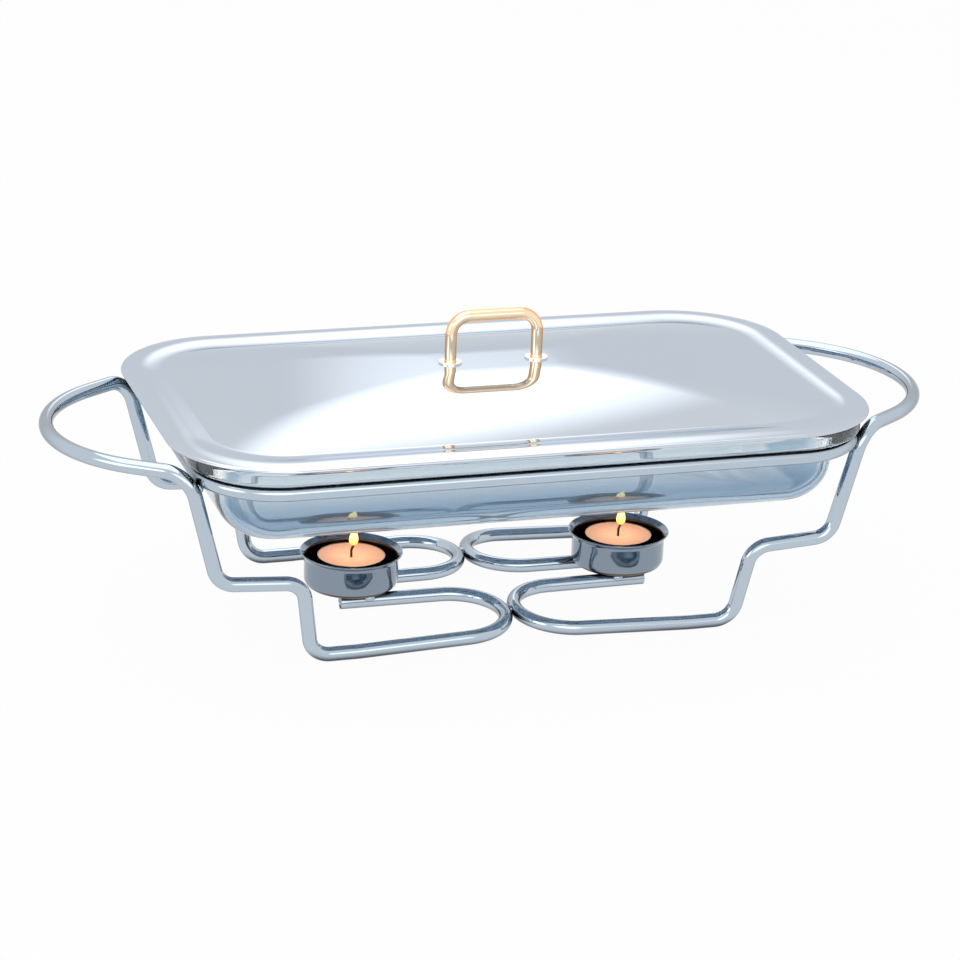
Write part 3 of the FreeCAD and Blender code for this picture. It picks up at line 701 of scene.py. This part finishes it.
def handle_points(stand, reach):
    """The top corner of a front riser at this reach, the place where the tangents at the ends of the side
    handle's round part meet, and the radius of that part.

    The round part takes a fixed share of the handle's depth; half its turn has that share over the half width
    as the tangent of its half. Straight runs, tangent to it, lead to the risers.
    """
    depth = stand.handle_reach - reach
    bulge = stand.round_share * depth
    half = stand.handle_width
    turn = 2 * math.atan(bulge / half)
    run = (depth - bulge) / math.sin(turn)
    corner = at(reach, -half - run * math.cos(turn), stand.handle_height)
    meeting = at(stand.handle_reach - bulge + half * math.tan(turn), 0, stand.handle_height)
    return corner, meeting, half / math.sin(turn)


def step_corner(stand):
    """The outer corner of the step at the front of the right-hand frame."""
    return at(stand.step_end, -stand.step_end_spread, stand.step_height + stand.step_rise)


def riser_contact(stand):
    """The reach of the risers' top corners, and where a front riser and the hoop come nearest each other.

    The reach is moved by what is missing from one rod's diameter and the weld gap between the two centre
    lines, again and again, until nothing is missing.
    """
    corner = hoop_corners(stand)[3]
    bend = [corner * (1, 0, 1), corner, corner * (0, 1, 1)]
    hoop = bent_path(bend, [stand.hoop_corner], Z_AXIS, grain=0.0005, fine=0.01)[0]
    apart = stand.rod + stand.weld_gap
    reach = stand.hoop_length + apart
    for _ in range(CONTACT_TRIES):
        top, meeting, _ = handle_points(stand, reach)
        riser = bent_path([step_corner(stand), top, meeting], [stand.top_bend], Z_AXIS, grain=0.0005, fine=0.02)[0]
        gaps = np.linalg.norm(riser[:, None] - hoop, axis=2)
        reach += apart - gaps.min()
    on_riser, on_hoop = np.unravel_index(gaps.argmin(), gaps.shape)
    return reach, riser[on_riser], hoop[on_hoop]


def frame_points(stand):
    """Corners of the right-hand frame from one free end to the other, and the radius at each inner corner."""
    rod = stand.rod / 2
    top, meeting, radius = handle_points(stand, riser_contact(stand)[0])
    front = [
        at(stand.inner_reach, stand.inner_toe - stand.inner_spread, rod + stand.inner_lift),
        at(rod, -stand.inner_spread, rod + stand.inner_lift),
        at(rod, -stand.foot_spread, rod + stand.outer_lift),
        at(stand.foot_reach - stand.foot_flat, -stand.foot_spread, rod),
        at(stand.foot_reach, -stand.foot_spread, rod),
        at(stand.step_start, -stand.step_start_spread, stand.step_height),
        step_corner(stand),
        top,
    ]
    hairpin = HAIRPIN_SHARE * (stand.foot_spread - stand.inner_spread)
    radii = [hairpin, hairpin, stand.rail_bend, stand.bend, stand.bend, stand.bend, stand.top_bend]
    rear = [corner * (1, -1, 1) for corner in reversed(front)]
    return front + [meeting] + rear, radii + [radius] + radii[::-1]


class CHAFING_OT_end_frames(bpy.types.Operator):
    """Bend the two end frames, each one rod from free end to free end"""

    bl_idname = "chafing.end_frames"
    bl_label = "End frames"

    def execute(self, context):
        kept = settings(context)
        points, radii = frame_points(kept.stand)
        chrome = rod_chrome("stand_chrome", kept.finish)
        for side, sign in SIDES:
            path = bent_path([point * (sign, 1, 1) for point in points], radii, Z_AXIS)
            rings = tube(path, kept.stand.rod / 2, end_depth=kept.stand.end_depth)
            node = side + "_end_frame"
            piece(side + "_frame_rod", [skin(rings)], "stand", [chrome], [node], crease=60)
        return {"FINISHED"}


class CHAFING_OT_rim_hoop(bpy.types.Operator):
    """Bend the hoop that carries the glass dish"""

    bl_idname = "chafing.rim_hoop"
    bl_label = "Rim hoop"

    def execute(self, context):
        kept = settings(context)
        stand = kept.stand
        middle = at(stand.hoop_length, 0, stand.hoop_height)
        path = bent_path([middle, *hoop_corners(stand), middle], [stand.hoop_corner] * 4, Z_AXIS)
        rings = tube([part[:-1] for part in path], stand.rod / 2)
        chrome = rod_chrome("hoop_chrome", kept.finish)
        piece("rim_hoop_rod", [skin(rings, looped=True)], "stand", [chrome], ["rim_hoop"])
        return {"FINISHED"}


def bead(centre, radii, seed):
    """A drop of weld metal: a ball stretched by three radii, its surface moved in and out by a few slow waves."""
    rise = np.linspace(0, math.pi, 18)[1:-1]
    turn = np.linspace(0, math.tau, 28, endpoint=False)
    around, down = np.meshgrid(turn, rise)
    ball = np.stack([np.sin(down) * np.cos(around), np.sin(down) * np.sin(around), np.cos(down)], -1)
    wave = 1 + 0.05 * np.sin(3 * around + seed) * np.sin(down) + 0.04 * np.cos(2 * down + seed * 2)
    return skin(np.asarray(centre) + ball * np.asarray(radii) * wave[..., None])


class CHAFING_OT_welds(bpy.types.Operator):
    """Lay the weld beads where the rods, the hoop and the cups meet"""

    bl_idname = "chafing.welds"
    bl_label = "Welds"

    def execute(self, context):
        kept = settings(context)
        stand = kept.stand
        rod, weld = stand.rod / 2, stand.weld
        quarters = [(along, across) for along in (-1, 1) for across in (-1, 1)]

        _, on_riser, on_hoop = riser_contact(stand)
        gap = unit(on_riser - on_hoop)
        crevice = (on_riser + on_hoop) / 2 + unit(gap * gap[2] - Z_AXIS) * weld
        radii = np.multiply(HOOP_BEAD, weld)
        hoop = [bead(crevice * (along, -across, 1), radii, along + across * 2.0) for along, across in quarters]

        between = (stand.foot_spread + stand.inner_spread) / 2
        height = rod + (stand.inner_lift + stand.outer_lift) / 2 + rod * 0.35
        radii = np.multiply(CENTRE_BEAD, weld)
        centre = [bead((0, between * across, height), radii, across + 0.5) for across in (-1, 1)]

        reach = kept.cup.offset - weld * 2
        beside = stand.inner_spread - stand.inner_toe * reach / stand.inner_reach + rod * 0.9
        height = rail_top(stand) - rod / 3
        radii = np.multiply(CUP_BEAD, weld)
        cup = [
            bead((along * reach, across * beside, height), radii, along * 1.5 + across) for along, across in quarters
        ]

        steel = metal("weld_metal", kept.finish.chrome, (0.12, 0.22), grain=300.0, relief=0.0001, fading=0.8)
        for name, beads in (("hoop_weld", hoop), ("centre_weld", centre), ("cup_weld", cup)):
            piece(name + "_beads", beads, "stand", [steel], [name + "s"])
        return {"FINISHED"}


# Candle cups and tealights


CAN_FOOT = 0.0012  # outer rounding of a can's foot
CAN_BEND = 0.0008  # the same inside
WAX_GAP = 0.0001  # between the wax and its can
WAX_CROWN = 0.0005  # how far the wax climbs at its edge
WICK_HOLLOW = 0.0008  # depth of the hollow round the wick
WICK_POOL = 0.004  # radius of that hollow
FLAME_FOOT_DROP = 0.08  # how far a flame reaches down its wick, as a share of its height
FLAME_LEAN = 0.0006
FLAME_POWER = 0.004  # watts of the lamp in a flame
FLAME_CORE = 0.002  # radius of that lamp


class CHAFING_OT_candle_cups(bpy.types.Operator):
    """Press the two cups with their flared lips"""

    bl_idname = "chafing.candle_cups"
    bl_label = "Candle cups"

    def execute(self, context):
        kept = settings(context)
        cup, finish = kept.cup, kept.finish
        neck = cup.depth - cup.flare
        lip_round = cup.sheet * 0.45
        section = outline([
            (0.0, 0, 0),
            (cup.radius, 0, cup.floor_round),
            (cup.radius, neck, cup.flare),
            (cup.lip, cup.depth, lip_round),
            (cup.lip - cup.sheet, cup.depth, lip_round),
            (cup.radius - cup.sheet, neck + cup.sheet * 0.2, cup.flare),
            (cup.radius - cup.sheet, cup.sheet, cup.floor_round - cup.sheet),
            (0.0, cup.sheet, 0),
        ])
        profile = denser(section, spacing=0.003)[1:-1]
        polished = metal("cup_chrome", finish.cup_chrome, (0.04, 0.09), grain=90.0, stretch=(1.0, 1.0, 0.25))
        # Painted shade: the inside of each cup is given a dark tint for the shade within it.
        darkened = metal("cup_inside_shade", finish.cup_inside_shade, (0.25, 0.4), grain=160.0, relief=0.00005, fading=0.6)
        wall = cup.radius - cup.sheet * 0.5

        for side, sign in SIDES:
            axis = at(cup.offset * sign, 0, rail_top(kept.stand))

            def inside(centres, axis=axis):
                distance = np.hypot(centres[:, 0] - axis[0], centres[:, 1] - axis[1])
                return (distance < wall) & (centres[:, 2] > axis[2] + cup.sheet * 0.5)

            piece(
                side + "_cup", [skin(lathe(profile, axis))], "stand",
                [polished, darkened], [side + "_candle_cup"], banding=inside,
            )
        return {"FINISHED"}


def flame_glow(name, place, tint):
    """The warm light of one flame, as a small round lamp inside it."""
    lamp = bpy.data.lights.new(name, "POINT")
    lamp.energy, lamp.shadow_soft_size = FLAME_POWER, FLAME_CORE
    lamp.color = tint
    placed(name, lamp, Matrix.Translation(place))


def flame_shape(light):
    """A flame's profile of radii and heights: the radius is half the width times a skewed sine of the share
    of the height, and shrinks a little towards the tip."""
    rise = np.linspace(0, 1, 34)[1:-1]
    swell = light.flame_width / 2 * np.sin(math.pi * rise ** 0.62) ** 0.9 * (1 - 0.25 * rise)
    return np.stack([swell, rise * light.flame], 1)


class CHAFING_OT_tealights(bpy.types.Operator):
    """Fill the two cans with wax, and give each a wick and a flame"""

    bl_idname = "chafing.tealights"
    bl_label = "Tealights"

    def execute(self, context):
        kept = settings(context)
        light, finish = kept.tealight, kept.finish
        can_floor = rail_top(kept.stand) + kept.cup.sheet
        can_top = can_floor + light.depth
        wax_floor = can_floor + light.sheet
        surface = wax_floor + light.wax_depth
        tip_height = surface + light.wick_rise
        bottom = tip_height - light.flame * FLAME_FOOT_DROP
        tin = metal("can_aluminium", finish.aluminium, (0.15, 0.3), grain=200.0)
        burnt = charred_cotton("charred_wick", finish.wick)
        disc = metal("sustainer_tin", finish.aluminium, (0.2, 0.35))
        fire = burning("flame", finish.flame, finish.flame_tip, bottom, light.flame, strength=3.0)

        inner = light.radius - light.sheet
        can = denser(outline([
            (0.0, can_floor, 0),
            (light.radius, can_floor, CAN_FOOT),
            (light.radius, can_top, light.sheet * 0.4),
            (inner, can_top, light.sheet * 0.4),
            (inner, wax_floor, CAN_BEND),
            (0.0, wax_floor, 0),
        ]), spacing=0.004)[1:-1]
        edge = inner - WAX_GAP
        radii = np.linspace(edge, 0.0004, 40)
        crown = WAX_CROWN * (radii / edge) ** 6 - WICK_HOLLOW * np.exp(-((radii / WICK_POOL) ** 2))
        block = np.concatenate([
            [(0.001, wax_floor), (edge - CAN_BEND, wax_floor), (edge, wax_floor + CAN_BEND)],
            np.stack([radii, surface - WAX_CROWN + crown], 1),
        ])
        fire_profile = flame_shape(light)
        lean = (fire_profile[:, 1] / light.flame) ** 2 * FLAME_LEAN

        for side, sign in SIDES:
            body = side + "_tealight"
            axis = at(kept.cup.offset * sign, 0, 0)
            piece(side + "_can", [skin(lathe(can, axis))], body, [tin], [side + "_tealight_can"])
            wax = candle_wax(side + "_wax", finish.wax, axis + (0, 0, surface), light.radius * 1.3)
            piece(side + "_wax_fill", [skin(lathe(block, axis))], body, [wax], [side + "_wax"])
            wick = [
                axis + (0, 0, wax_floor + 0.0005),
                axis + (0, 0, surface + light.wick_rise / 2),
                axis + (light.wick_lean, 0, tip_height),
            ]
            path = bent_path(wick, [light.wick * 3], Y_AXIS, grain=0.001)
            rings = tube(path, light.wick, sections=20, end_depth=light.wick * 0.5)
            piece(side + "_wick_cord", [skin(rings)], body, [burnt], [side + "_wick"])
            root = axis + (light.wick_lean * 0.7, 0, bottom)
            rings = lathe(fire_profile, root, sections=40) + lean[:, None, None] * X_AXIS
            flame = piece(side + "_flame", [skin(rings)], body, [fire])
            flame.visible_shadow = False
            flame_glow(side + "_glow", root + (0, 0, light.flame * 0.5), finish.glow)
            dress(side + "_wick_sustainer", disc)
        return {"FINISHED"}


# Glass dish


def rim_seat(kept):
    """Height of the underside of the glass rim, over the hoop."""
    return kept.stand.hoop_height + kept.stand.rod / 2 + kept.dish.gap


class CHAFING_OT_glass_dish(bpy.types.Operator):
    """Press the glass dish: floor, rounded foot, leaning wall and thick rim"""

    bl_idname = "chafing.glass_dish"
    bl_label = "Glass dish"

    def execute(self, context):
        kept = settings(context)
        stand, dish, finish = kept.stand, kept.dish, kept.finish
        seat = rim_seat(kept)
        top = seat + dish.rim_height
        floor = top - dish.depth
        shoulder = stand.hoop_corner - dish.inset
        foot = shoulder - dish.taper
        at_seat = foot + dish.taper * (seat - floor) / dish.depth
        rim = stand.hoop_corner + dish.overhang
        plate = foot - dish.floor_round
        rounding, glass = dish.rim_round, dish.glass
        section = denser(outline([
            (plate, floor, 0),
            (foot, floor, dish.floor_round),
            (at_seat, seat, rounding / 2),
            (rim, seat, rounding),
            (rim, top, rounding),
            (shoulder - glass, top, rounding / 2),
            (foot - glass, floor + glass, dish.floor_round - glass),
            (plate, floor + glass, 0),
        ], fine=0.08), spacing=0.003)
        wall = swept(*rounded_core(stand.hoop_length, stand.hoop_width, stand.hoop_corner), *section.T)
        shrink = np.linspace(0.02, 1, 14)[:-1, None, None]
        flat = at(1, 1, 0)
        under = wall[0] * flat * shrink + floor * Z_AXIS
        inside = wall[-1] * flat * shrink[::-1] + (floor + glass) * Z_AXIS
        rings = np.concatenate([under, wall, inside])
        tinted = clear_glass("dish_glass", finish.glass_foot_shade, finish.glass, floor, top)
        piece("glass_pan", [skin(rings)], "dish", [tinted], ["glass_dish"], crease=60)
        return {"FINISHED"}


# Lid and its handle


EDGE_STOP = 0.3  # radians by which the lid's turned-down edge stops short of upright
COLLAR_GAP = 0.0001  # between a collar and the arch's rod
LID_FRESNEL = (0.75, 0.79, 0.83)


def valley_height(kept):
    """Height of the top of the lid's valley."""
    return rim_seat(kept) + kept.dish.rim_height + kept.dish.gap + kept.lid.sheet


def pad_share(lid):
    """Where the panel's dome ends in its flat pad, as a share of the panel's half length."""
    return (lid.arch_span / 2 + lid.collar + MILLIMETRE) / (lid.half_length - lid.valley)


def pad_height(kept):
    """Height of the flat pad under the lid handle."""
    return valley_height(kept) + kept.lid.dome * (1 - pad_share(kept.lid) ** 2)


def border_line(lid, valley, depth):
    """The lid's border, a given depth under its outside, as (inset, height) from the panel to the edge.

    It is three arcs, each tangent to the next: the hollow, which starts level at the panel, the broad crest,
    and the tight turn down at the edge. The turn starts where the crest's slope has one cosine: the crest's
    radius less crest and lip, over that radius less the turn's. It stops a little short of upright, to leave
    room for the sheet's rounded end.
    """
    turn = lid.edge_round
    start = math.acos((lid.roll - lid.crest - lid.lip) / (lid.roll - turn))
    inset = turn + (lid.roll - turn) * math.sin(start)
    run = lid.valley - inset
    drop = lid.crest - lid.roll
    hollow = (run ** 2 + drop ** 2 - lid.roll ** 2) / (2 * lid.crest)
    crest_centre = np.array([inset, valley + lid.crest - lid.roll])
    hollow_centre = np.array([lid.valley, valley + hollow])
    edge_centre = np.array([turn, valley - lid.lip])
    lean = math.atan2(*(hollow_centre - crest_centre))

    def arc(centre, radius, first, last, count):
        angles = np.linspace(first, last, count)
        return centre + radius * np.stack([np.sin(angles), np.cos(angles)], 1)

    low = arc(hollow_centre, -hollow - depth, 0, lean, 26)
    high = arc(crest_centre, lid.roll - depth, lean, -start, 34)
    last = arc(edge_centre, turn - depth, -start, EDGE_STOP - math.pi / 2, 10)
    return np.concatenate([low, high[1:], last[1:]])


class CHAFING_OT_lid_sheet(bpy.types.Operator):
    """Press the lid: turned-down edge, broad crest, hollow and domed panel"""

    bl_idname = "chafing.lid_sheet"
    bl_label = "Lid"

    def execute(self, context):
        kept = settings(context)
        lid = kept.lid
        valley = valley_height(kept)
        core, direction = rounded_core(lid.half_length, lid.half_width, lid.corner, per_corner=40)
        pad = pad_share(lid)
        # The panel's rings, from its middle outwards, lie closest at its edge.
        shares = np.concatenate([np.linspace(0.01, pad, 4), np.linspace(pad, 0.97, 44)[1:], [0.985, 0.995]])
        rise = lid.dome * (1 - np.maximum(shares, pad) ** 2)
        panel = (core + (lid.corner - lid.valley) * direction) * shares[:, None, None]

        def face(depth):
            inset, height = border_line(lid, valley, depth).T
            border = swept(core, direction, lid.corner - inset, height)
            return np.concatenate([panel + (valley - depth + rise)[:, None, None] * Z_AXIS, border])

        half = lid.sheet / 2
        angles = math.pi / 2 - EDGE_STOP + np.linspace(0, math.pi, 8)[1:-1]
        inset, height = border_line(lid, valley, half)[-1]
        lip = swept(core, direction, lid.corner - inset + half * np.sin(angles), height + half * np.cos(angles))
        rings = np.concatenate([face(0.0), lip, face(lid.sheet)[::-1]])
        steel = metal("lid_steel", kept.finish.lid, (0.03, 0.05), grain=14.0, fading=0.985, fresnel=LID_FRESNEL)
        piece("lid_sheet", [skin(rings)], "lid", [steel], ["lid_shell"], crease=50)
        return {"FINISHED"}


class CHAFING_OT_lid_handle(bpy.types.Operator):
    """Bend the arch of the lid handle and set it on its collars"""

    bl_idname = "chafing.lid_handle"
    bl_label = "Lid handle"

    def execute(self, context):
        kept = settings(context)
        lid, finish = kept.lid, kept.finish
        foot = pad_height(kept)
        half, rod = lid.arch_span / 2, lid.arch_rod / 2
        top = foot + lid.arch_height - rod
        points = [at(x, 0, z) for x, z in ((-half, foot), (-half, top), (half, top), (half, foot))]
        path = bent_path(points, [lid.arch_bend] * 2, Y_AXIS, grain=0.002, fine=0.05)
        # Painted highlight and shade: cream where the rod faces the view, orange-brown where it turns away.
        brass = metal(
            "handle_brass", finish.brass, (0.04, 0.08), grain=120.0, edge=finish.brass_shaded_edge, turn=(0.2, 0.6)
        )
        rings = tube(path, rod, end_depth=0.0003)
        piece("lid_arch", [skin(rings)], "lid", [brass], ["lid_handle"], crease=60)

        inner = rod + COLLAR_GAP
        collar_top = foot + lid.collar_height
        edge = lid.collar_height * 0.35
        collar = outline([
            (inner, foot, 0),
            (lid.collar, foot, 0),
            (lid.collar, collar_top, edge),
            (inner, collar_top, edge),
            (inner, foot, 0),
        ])[:-1]
        plated = metal("collar_brass", finish.collar, (0.05, 0.1), grain=200.0)
        rings = [skin(lathe(collar, at(half * sign, 0, 0), sections=64), looped=True) for _, sign in SIDES]
        piece("arch_collars", rings, "lid", [plated], ["handle_collars"])
        steel = metal("fastener_steel", finish.fastener, (0.15, 0.3), grain=200.0)
        dress("handle_washers", steel)
        dress("handle_screws", steel)
        return {"FINISHED"}


# Stage


SKY_COLOUR = (0.93, 0.96, 1.0)
SKY_STRENGTH = 0.42
TABLETOP_COLOUR = (0.92, 0.93, 0.95)
TABLETOP_GLOW = 0.965  # how much of the tabletop is plain white where it is looked at; the rest keeps the shadow
TABLETOP_REACH = 6.0
CARD_FADE = (1.0, 0.05)  # squared shares of a card's half size, from its dark edge to its full middle

# Places, aims, widths and heights, then watts for the lamp and strengths for the cards
OVERHEAD_LAMP = ((-0.3, 0.2, 2.0), (0, 0, 0.1), 2.6, 2.0, 16.0)
CARDS = {
    "front_card": ((-0.5, -3.2, 1.35), (0, 0, 0.1), 5.0, 2.2, 2.3),
    "left_card": ((-3.1, -1.1, 1.1), (0, 0, 0.1), 2.8, 1.9, 2.8),
    "rear_card": ((0.94, 3.05, 2.45), (0, 0, 0.15), 1.65, 3.4, 2.1),
}

CAMERA_PLACE = (-0.516, -1.5682, 0.65651)
CAMERA_YAW = math.radians(18.04)
CAMERA_PITCH = math.radians(-19.59)
CAMERA_ROLL = math.radians(2.08)
CAMERA_LENS = 116.8


def looked_at(tree):
    """1 for rays from the camera, from a mirror and through glass, so all three show the same background."""
    path = add_node(tree, "ShaderNodeLightPath")
    seen = calculated(tree, "MAXIMUM", path.outputs["Is Camera Ray"], path.outputs["Is Glossy Ray"])
    return calculated(tree, "MAXIMUM", seen, path.outputs["Is Transmission Ray"])


def paint_world(world):
    """White for the camera, in mirrors and through glass, and softer as light on everything else."""
    tree = fresh_tree(world)
    white = add_node(tree, "ShaderNodeBackground", Color=WHITE)
    soft = add_node(tree, "ShaderNodeBackground", Color=SKY_COLOUR, Strength=SKY_STRENGTH)
    add_node(tree, "ShaderNodeOutputWorld", Surface=layered(tree, looked_at(tree), soft, white).outputs[0])


def tabletop_paint():
    """A white tabletop that keeps a faint shadow, the same in mirrors and through glass."""
    material = bpy.data.materials.new("tabletop")
    tree = fresh_tree(material)
    diffuse = add_node(tree, "ShaderNodeBsdfDiffuse", Color=TABLETOP_COLOUR)
    shown = layered(tree, TABLETOP_GLOW, diffuse, emission(tree))
    surface = layered(tree, looked_at(tree), diffuse, shown)
    add_node(tree, "ShaderNodeOutputMaterial", Surface=surface.outputs[0])
    return material


def card_glow(name, half_width, half_height, strength):
    """A glow that is full in the card's middle, and fades out in an oval to its edges."""
    material = bpy.data.materials.new(name)
    tree = fresh_tree(material)
    half_size = (half_width, half_height, 1)
    share = add_node(tree, "ShaderNodeVectorMath", own_place(tree), half_size, operation="DIVIDE").outputs[0]
    full = eased(tree, measured(tree, "DOT_PRODUCT", share, share), *CARD_FADE)
    surface = layered(tree, full, add_node(tree, "ShaderNodeBsdfTransparent"), emission(tree, strength))
    add_node(tree, "ShaderNodeOutputMaterial", Surface=surface.outputs[0])
    return material


def flat_piece(name, half_width, half_height, material, matrix):
    """One rectangle, given by half its width and height, at its place and turn."""
    mesh = bpy.data.meshes.new(name)
    mesh.from_pydata([(x * half_width, y * half_height, 0) for x, y in QUARTERS], [], [(0, 1, 2, 3)])
    mesh.materials.append(material)
    return placed(name, mesh, matrix)


def facing(place, aim):
    """The place and turn of a lamp or card whose width stays level and whose face looks at the aim."""
    back = unit(np.subtract(place, aim))
    across = unit(np.cross(Z_AXIS, back))
    turn = np.stack([across, np.cross(back, across), back], 1)
    return Matrix.Translation(place) @ Matrix(turn.tolist()).to_4x4()


def soft_card(name, place, aim, width, height, strength):
    """A glowing card at a place, facing the aim, that the camera doesn't see."""
    half = width / 2, height / 2
    made = flat_piece(name, *half, card_glow(name, *half, strength), facing(place, aim))
    made.visible_camera = False


def softbox(name, place, aim, width, height, power):
    """A rectangular lamp at a place, facing the aim."""
    lamp = bpy.data.lights.new(name, "AREA")
    lamp.shape = "RECTANGLE"
    lamp.size, lamp.size_y = width, height
    lamp.energy = power
    placed(name, lamp, facing(place, aim))


class CHAFING_OT_stage(bpy.types.Operator):
    """Set the tabletop, the studio light and the camera"""

    bl_idname = "chafing.stage"
    bl_label = "Stage"

    def execute(self, context):
        scene = context.scene
        flat_piece("tabletop", TABLETOP_REACH, TABLETOP_REACH, tabletop_paint(), Matrix())
        scene.world = bpy.data.worlds.new("studio")
        paint_world(scene.world)
        softbox("overhead_softbox", *OVERHEAD_LAMP)
        for name, values in CARDS.items():
            soft_card(name, *values)

        camera = bpy.data.cameras.new("camera")
        camera.lens = CAMERA_LENS
        aimed = Matrix.Rotation(-CAMERA_YAW, 4, "Z") @ Matrix.Rotation(math.pi / 2 + CAMERA_PITCH, 4, "X")
        turn = aimed @ Matrix.Rotation(CAMERA_ROLL, 4, "Z")
        scene.camera = placed("camera", camera, Matrix.Translation(CAMERA_PLACE) @ turn)
        scene.view_settings.view_transform = "Standard"
        return {"FINISHED"}


class CHAFING_PT_sidebar(bpy.types.Panel):
    """Lists the chafing dish's pieces in the sidebar"""

    bl_label = "Chafing dish"
    bl_space_type = "VIEW_3D"
    bl_region_type = "UI"
    bl_category = "Chafing dish"

    def draw(self, context):
        for operator in OPERATORS:
            self.layout.operator(operator.bl_idname)
        for group in (getattr(settings(context), name) for name in ChafingDish.__annotations__):
            box = self.layout.box()
            for name in type(group).__annotations__:
                box.prop(group, name)


GROUPS = (StandSizes, CupSizes, TealightSizes, DishSizes, LidSizes, Finishes, ChafingDish)
OPERATORS = (
    CHAFING_OT_stage,
    CHAFING_OT_end_frames,
    CHAFING_OT_rim_hoop,
    CHAFING_OT_welds,
    CHAFING_OT_candle_cups,
    CHAFING_OT_tealights,
    CHAFING_OT_glass_dish,
    CHAFING_OT_lid_sheet,
    CHAFING_OT_lid_handle,
)


def register():
    for item in (*GROUPS, *OPERATORS, CHAFING_PT_sidebar):
        bpy.utils.register_class(item)
    bpy.types.Scene.chafing_dish = PointerProperty(type=ChafingDish)


def unregister():
    del bpy.types.Scene.chafing_dish
    for item in reversed((*GROUPS, *OPERATORS, CHAFING_PT_sidebar)):
        bpy.utils.unregister_class(item)


def main():
    """Builds everything in order."""
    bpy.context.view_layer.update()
    register()
    for operator in OPERATORS:
        group, action = operator.bl_idname.split(".")
        getattr(getattr(bpy.ops, group), action)()


if __name__ == "__main__":
    main()
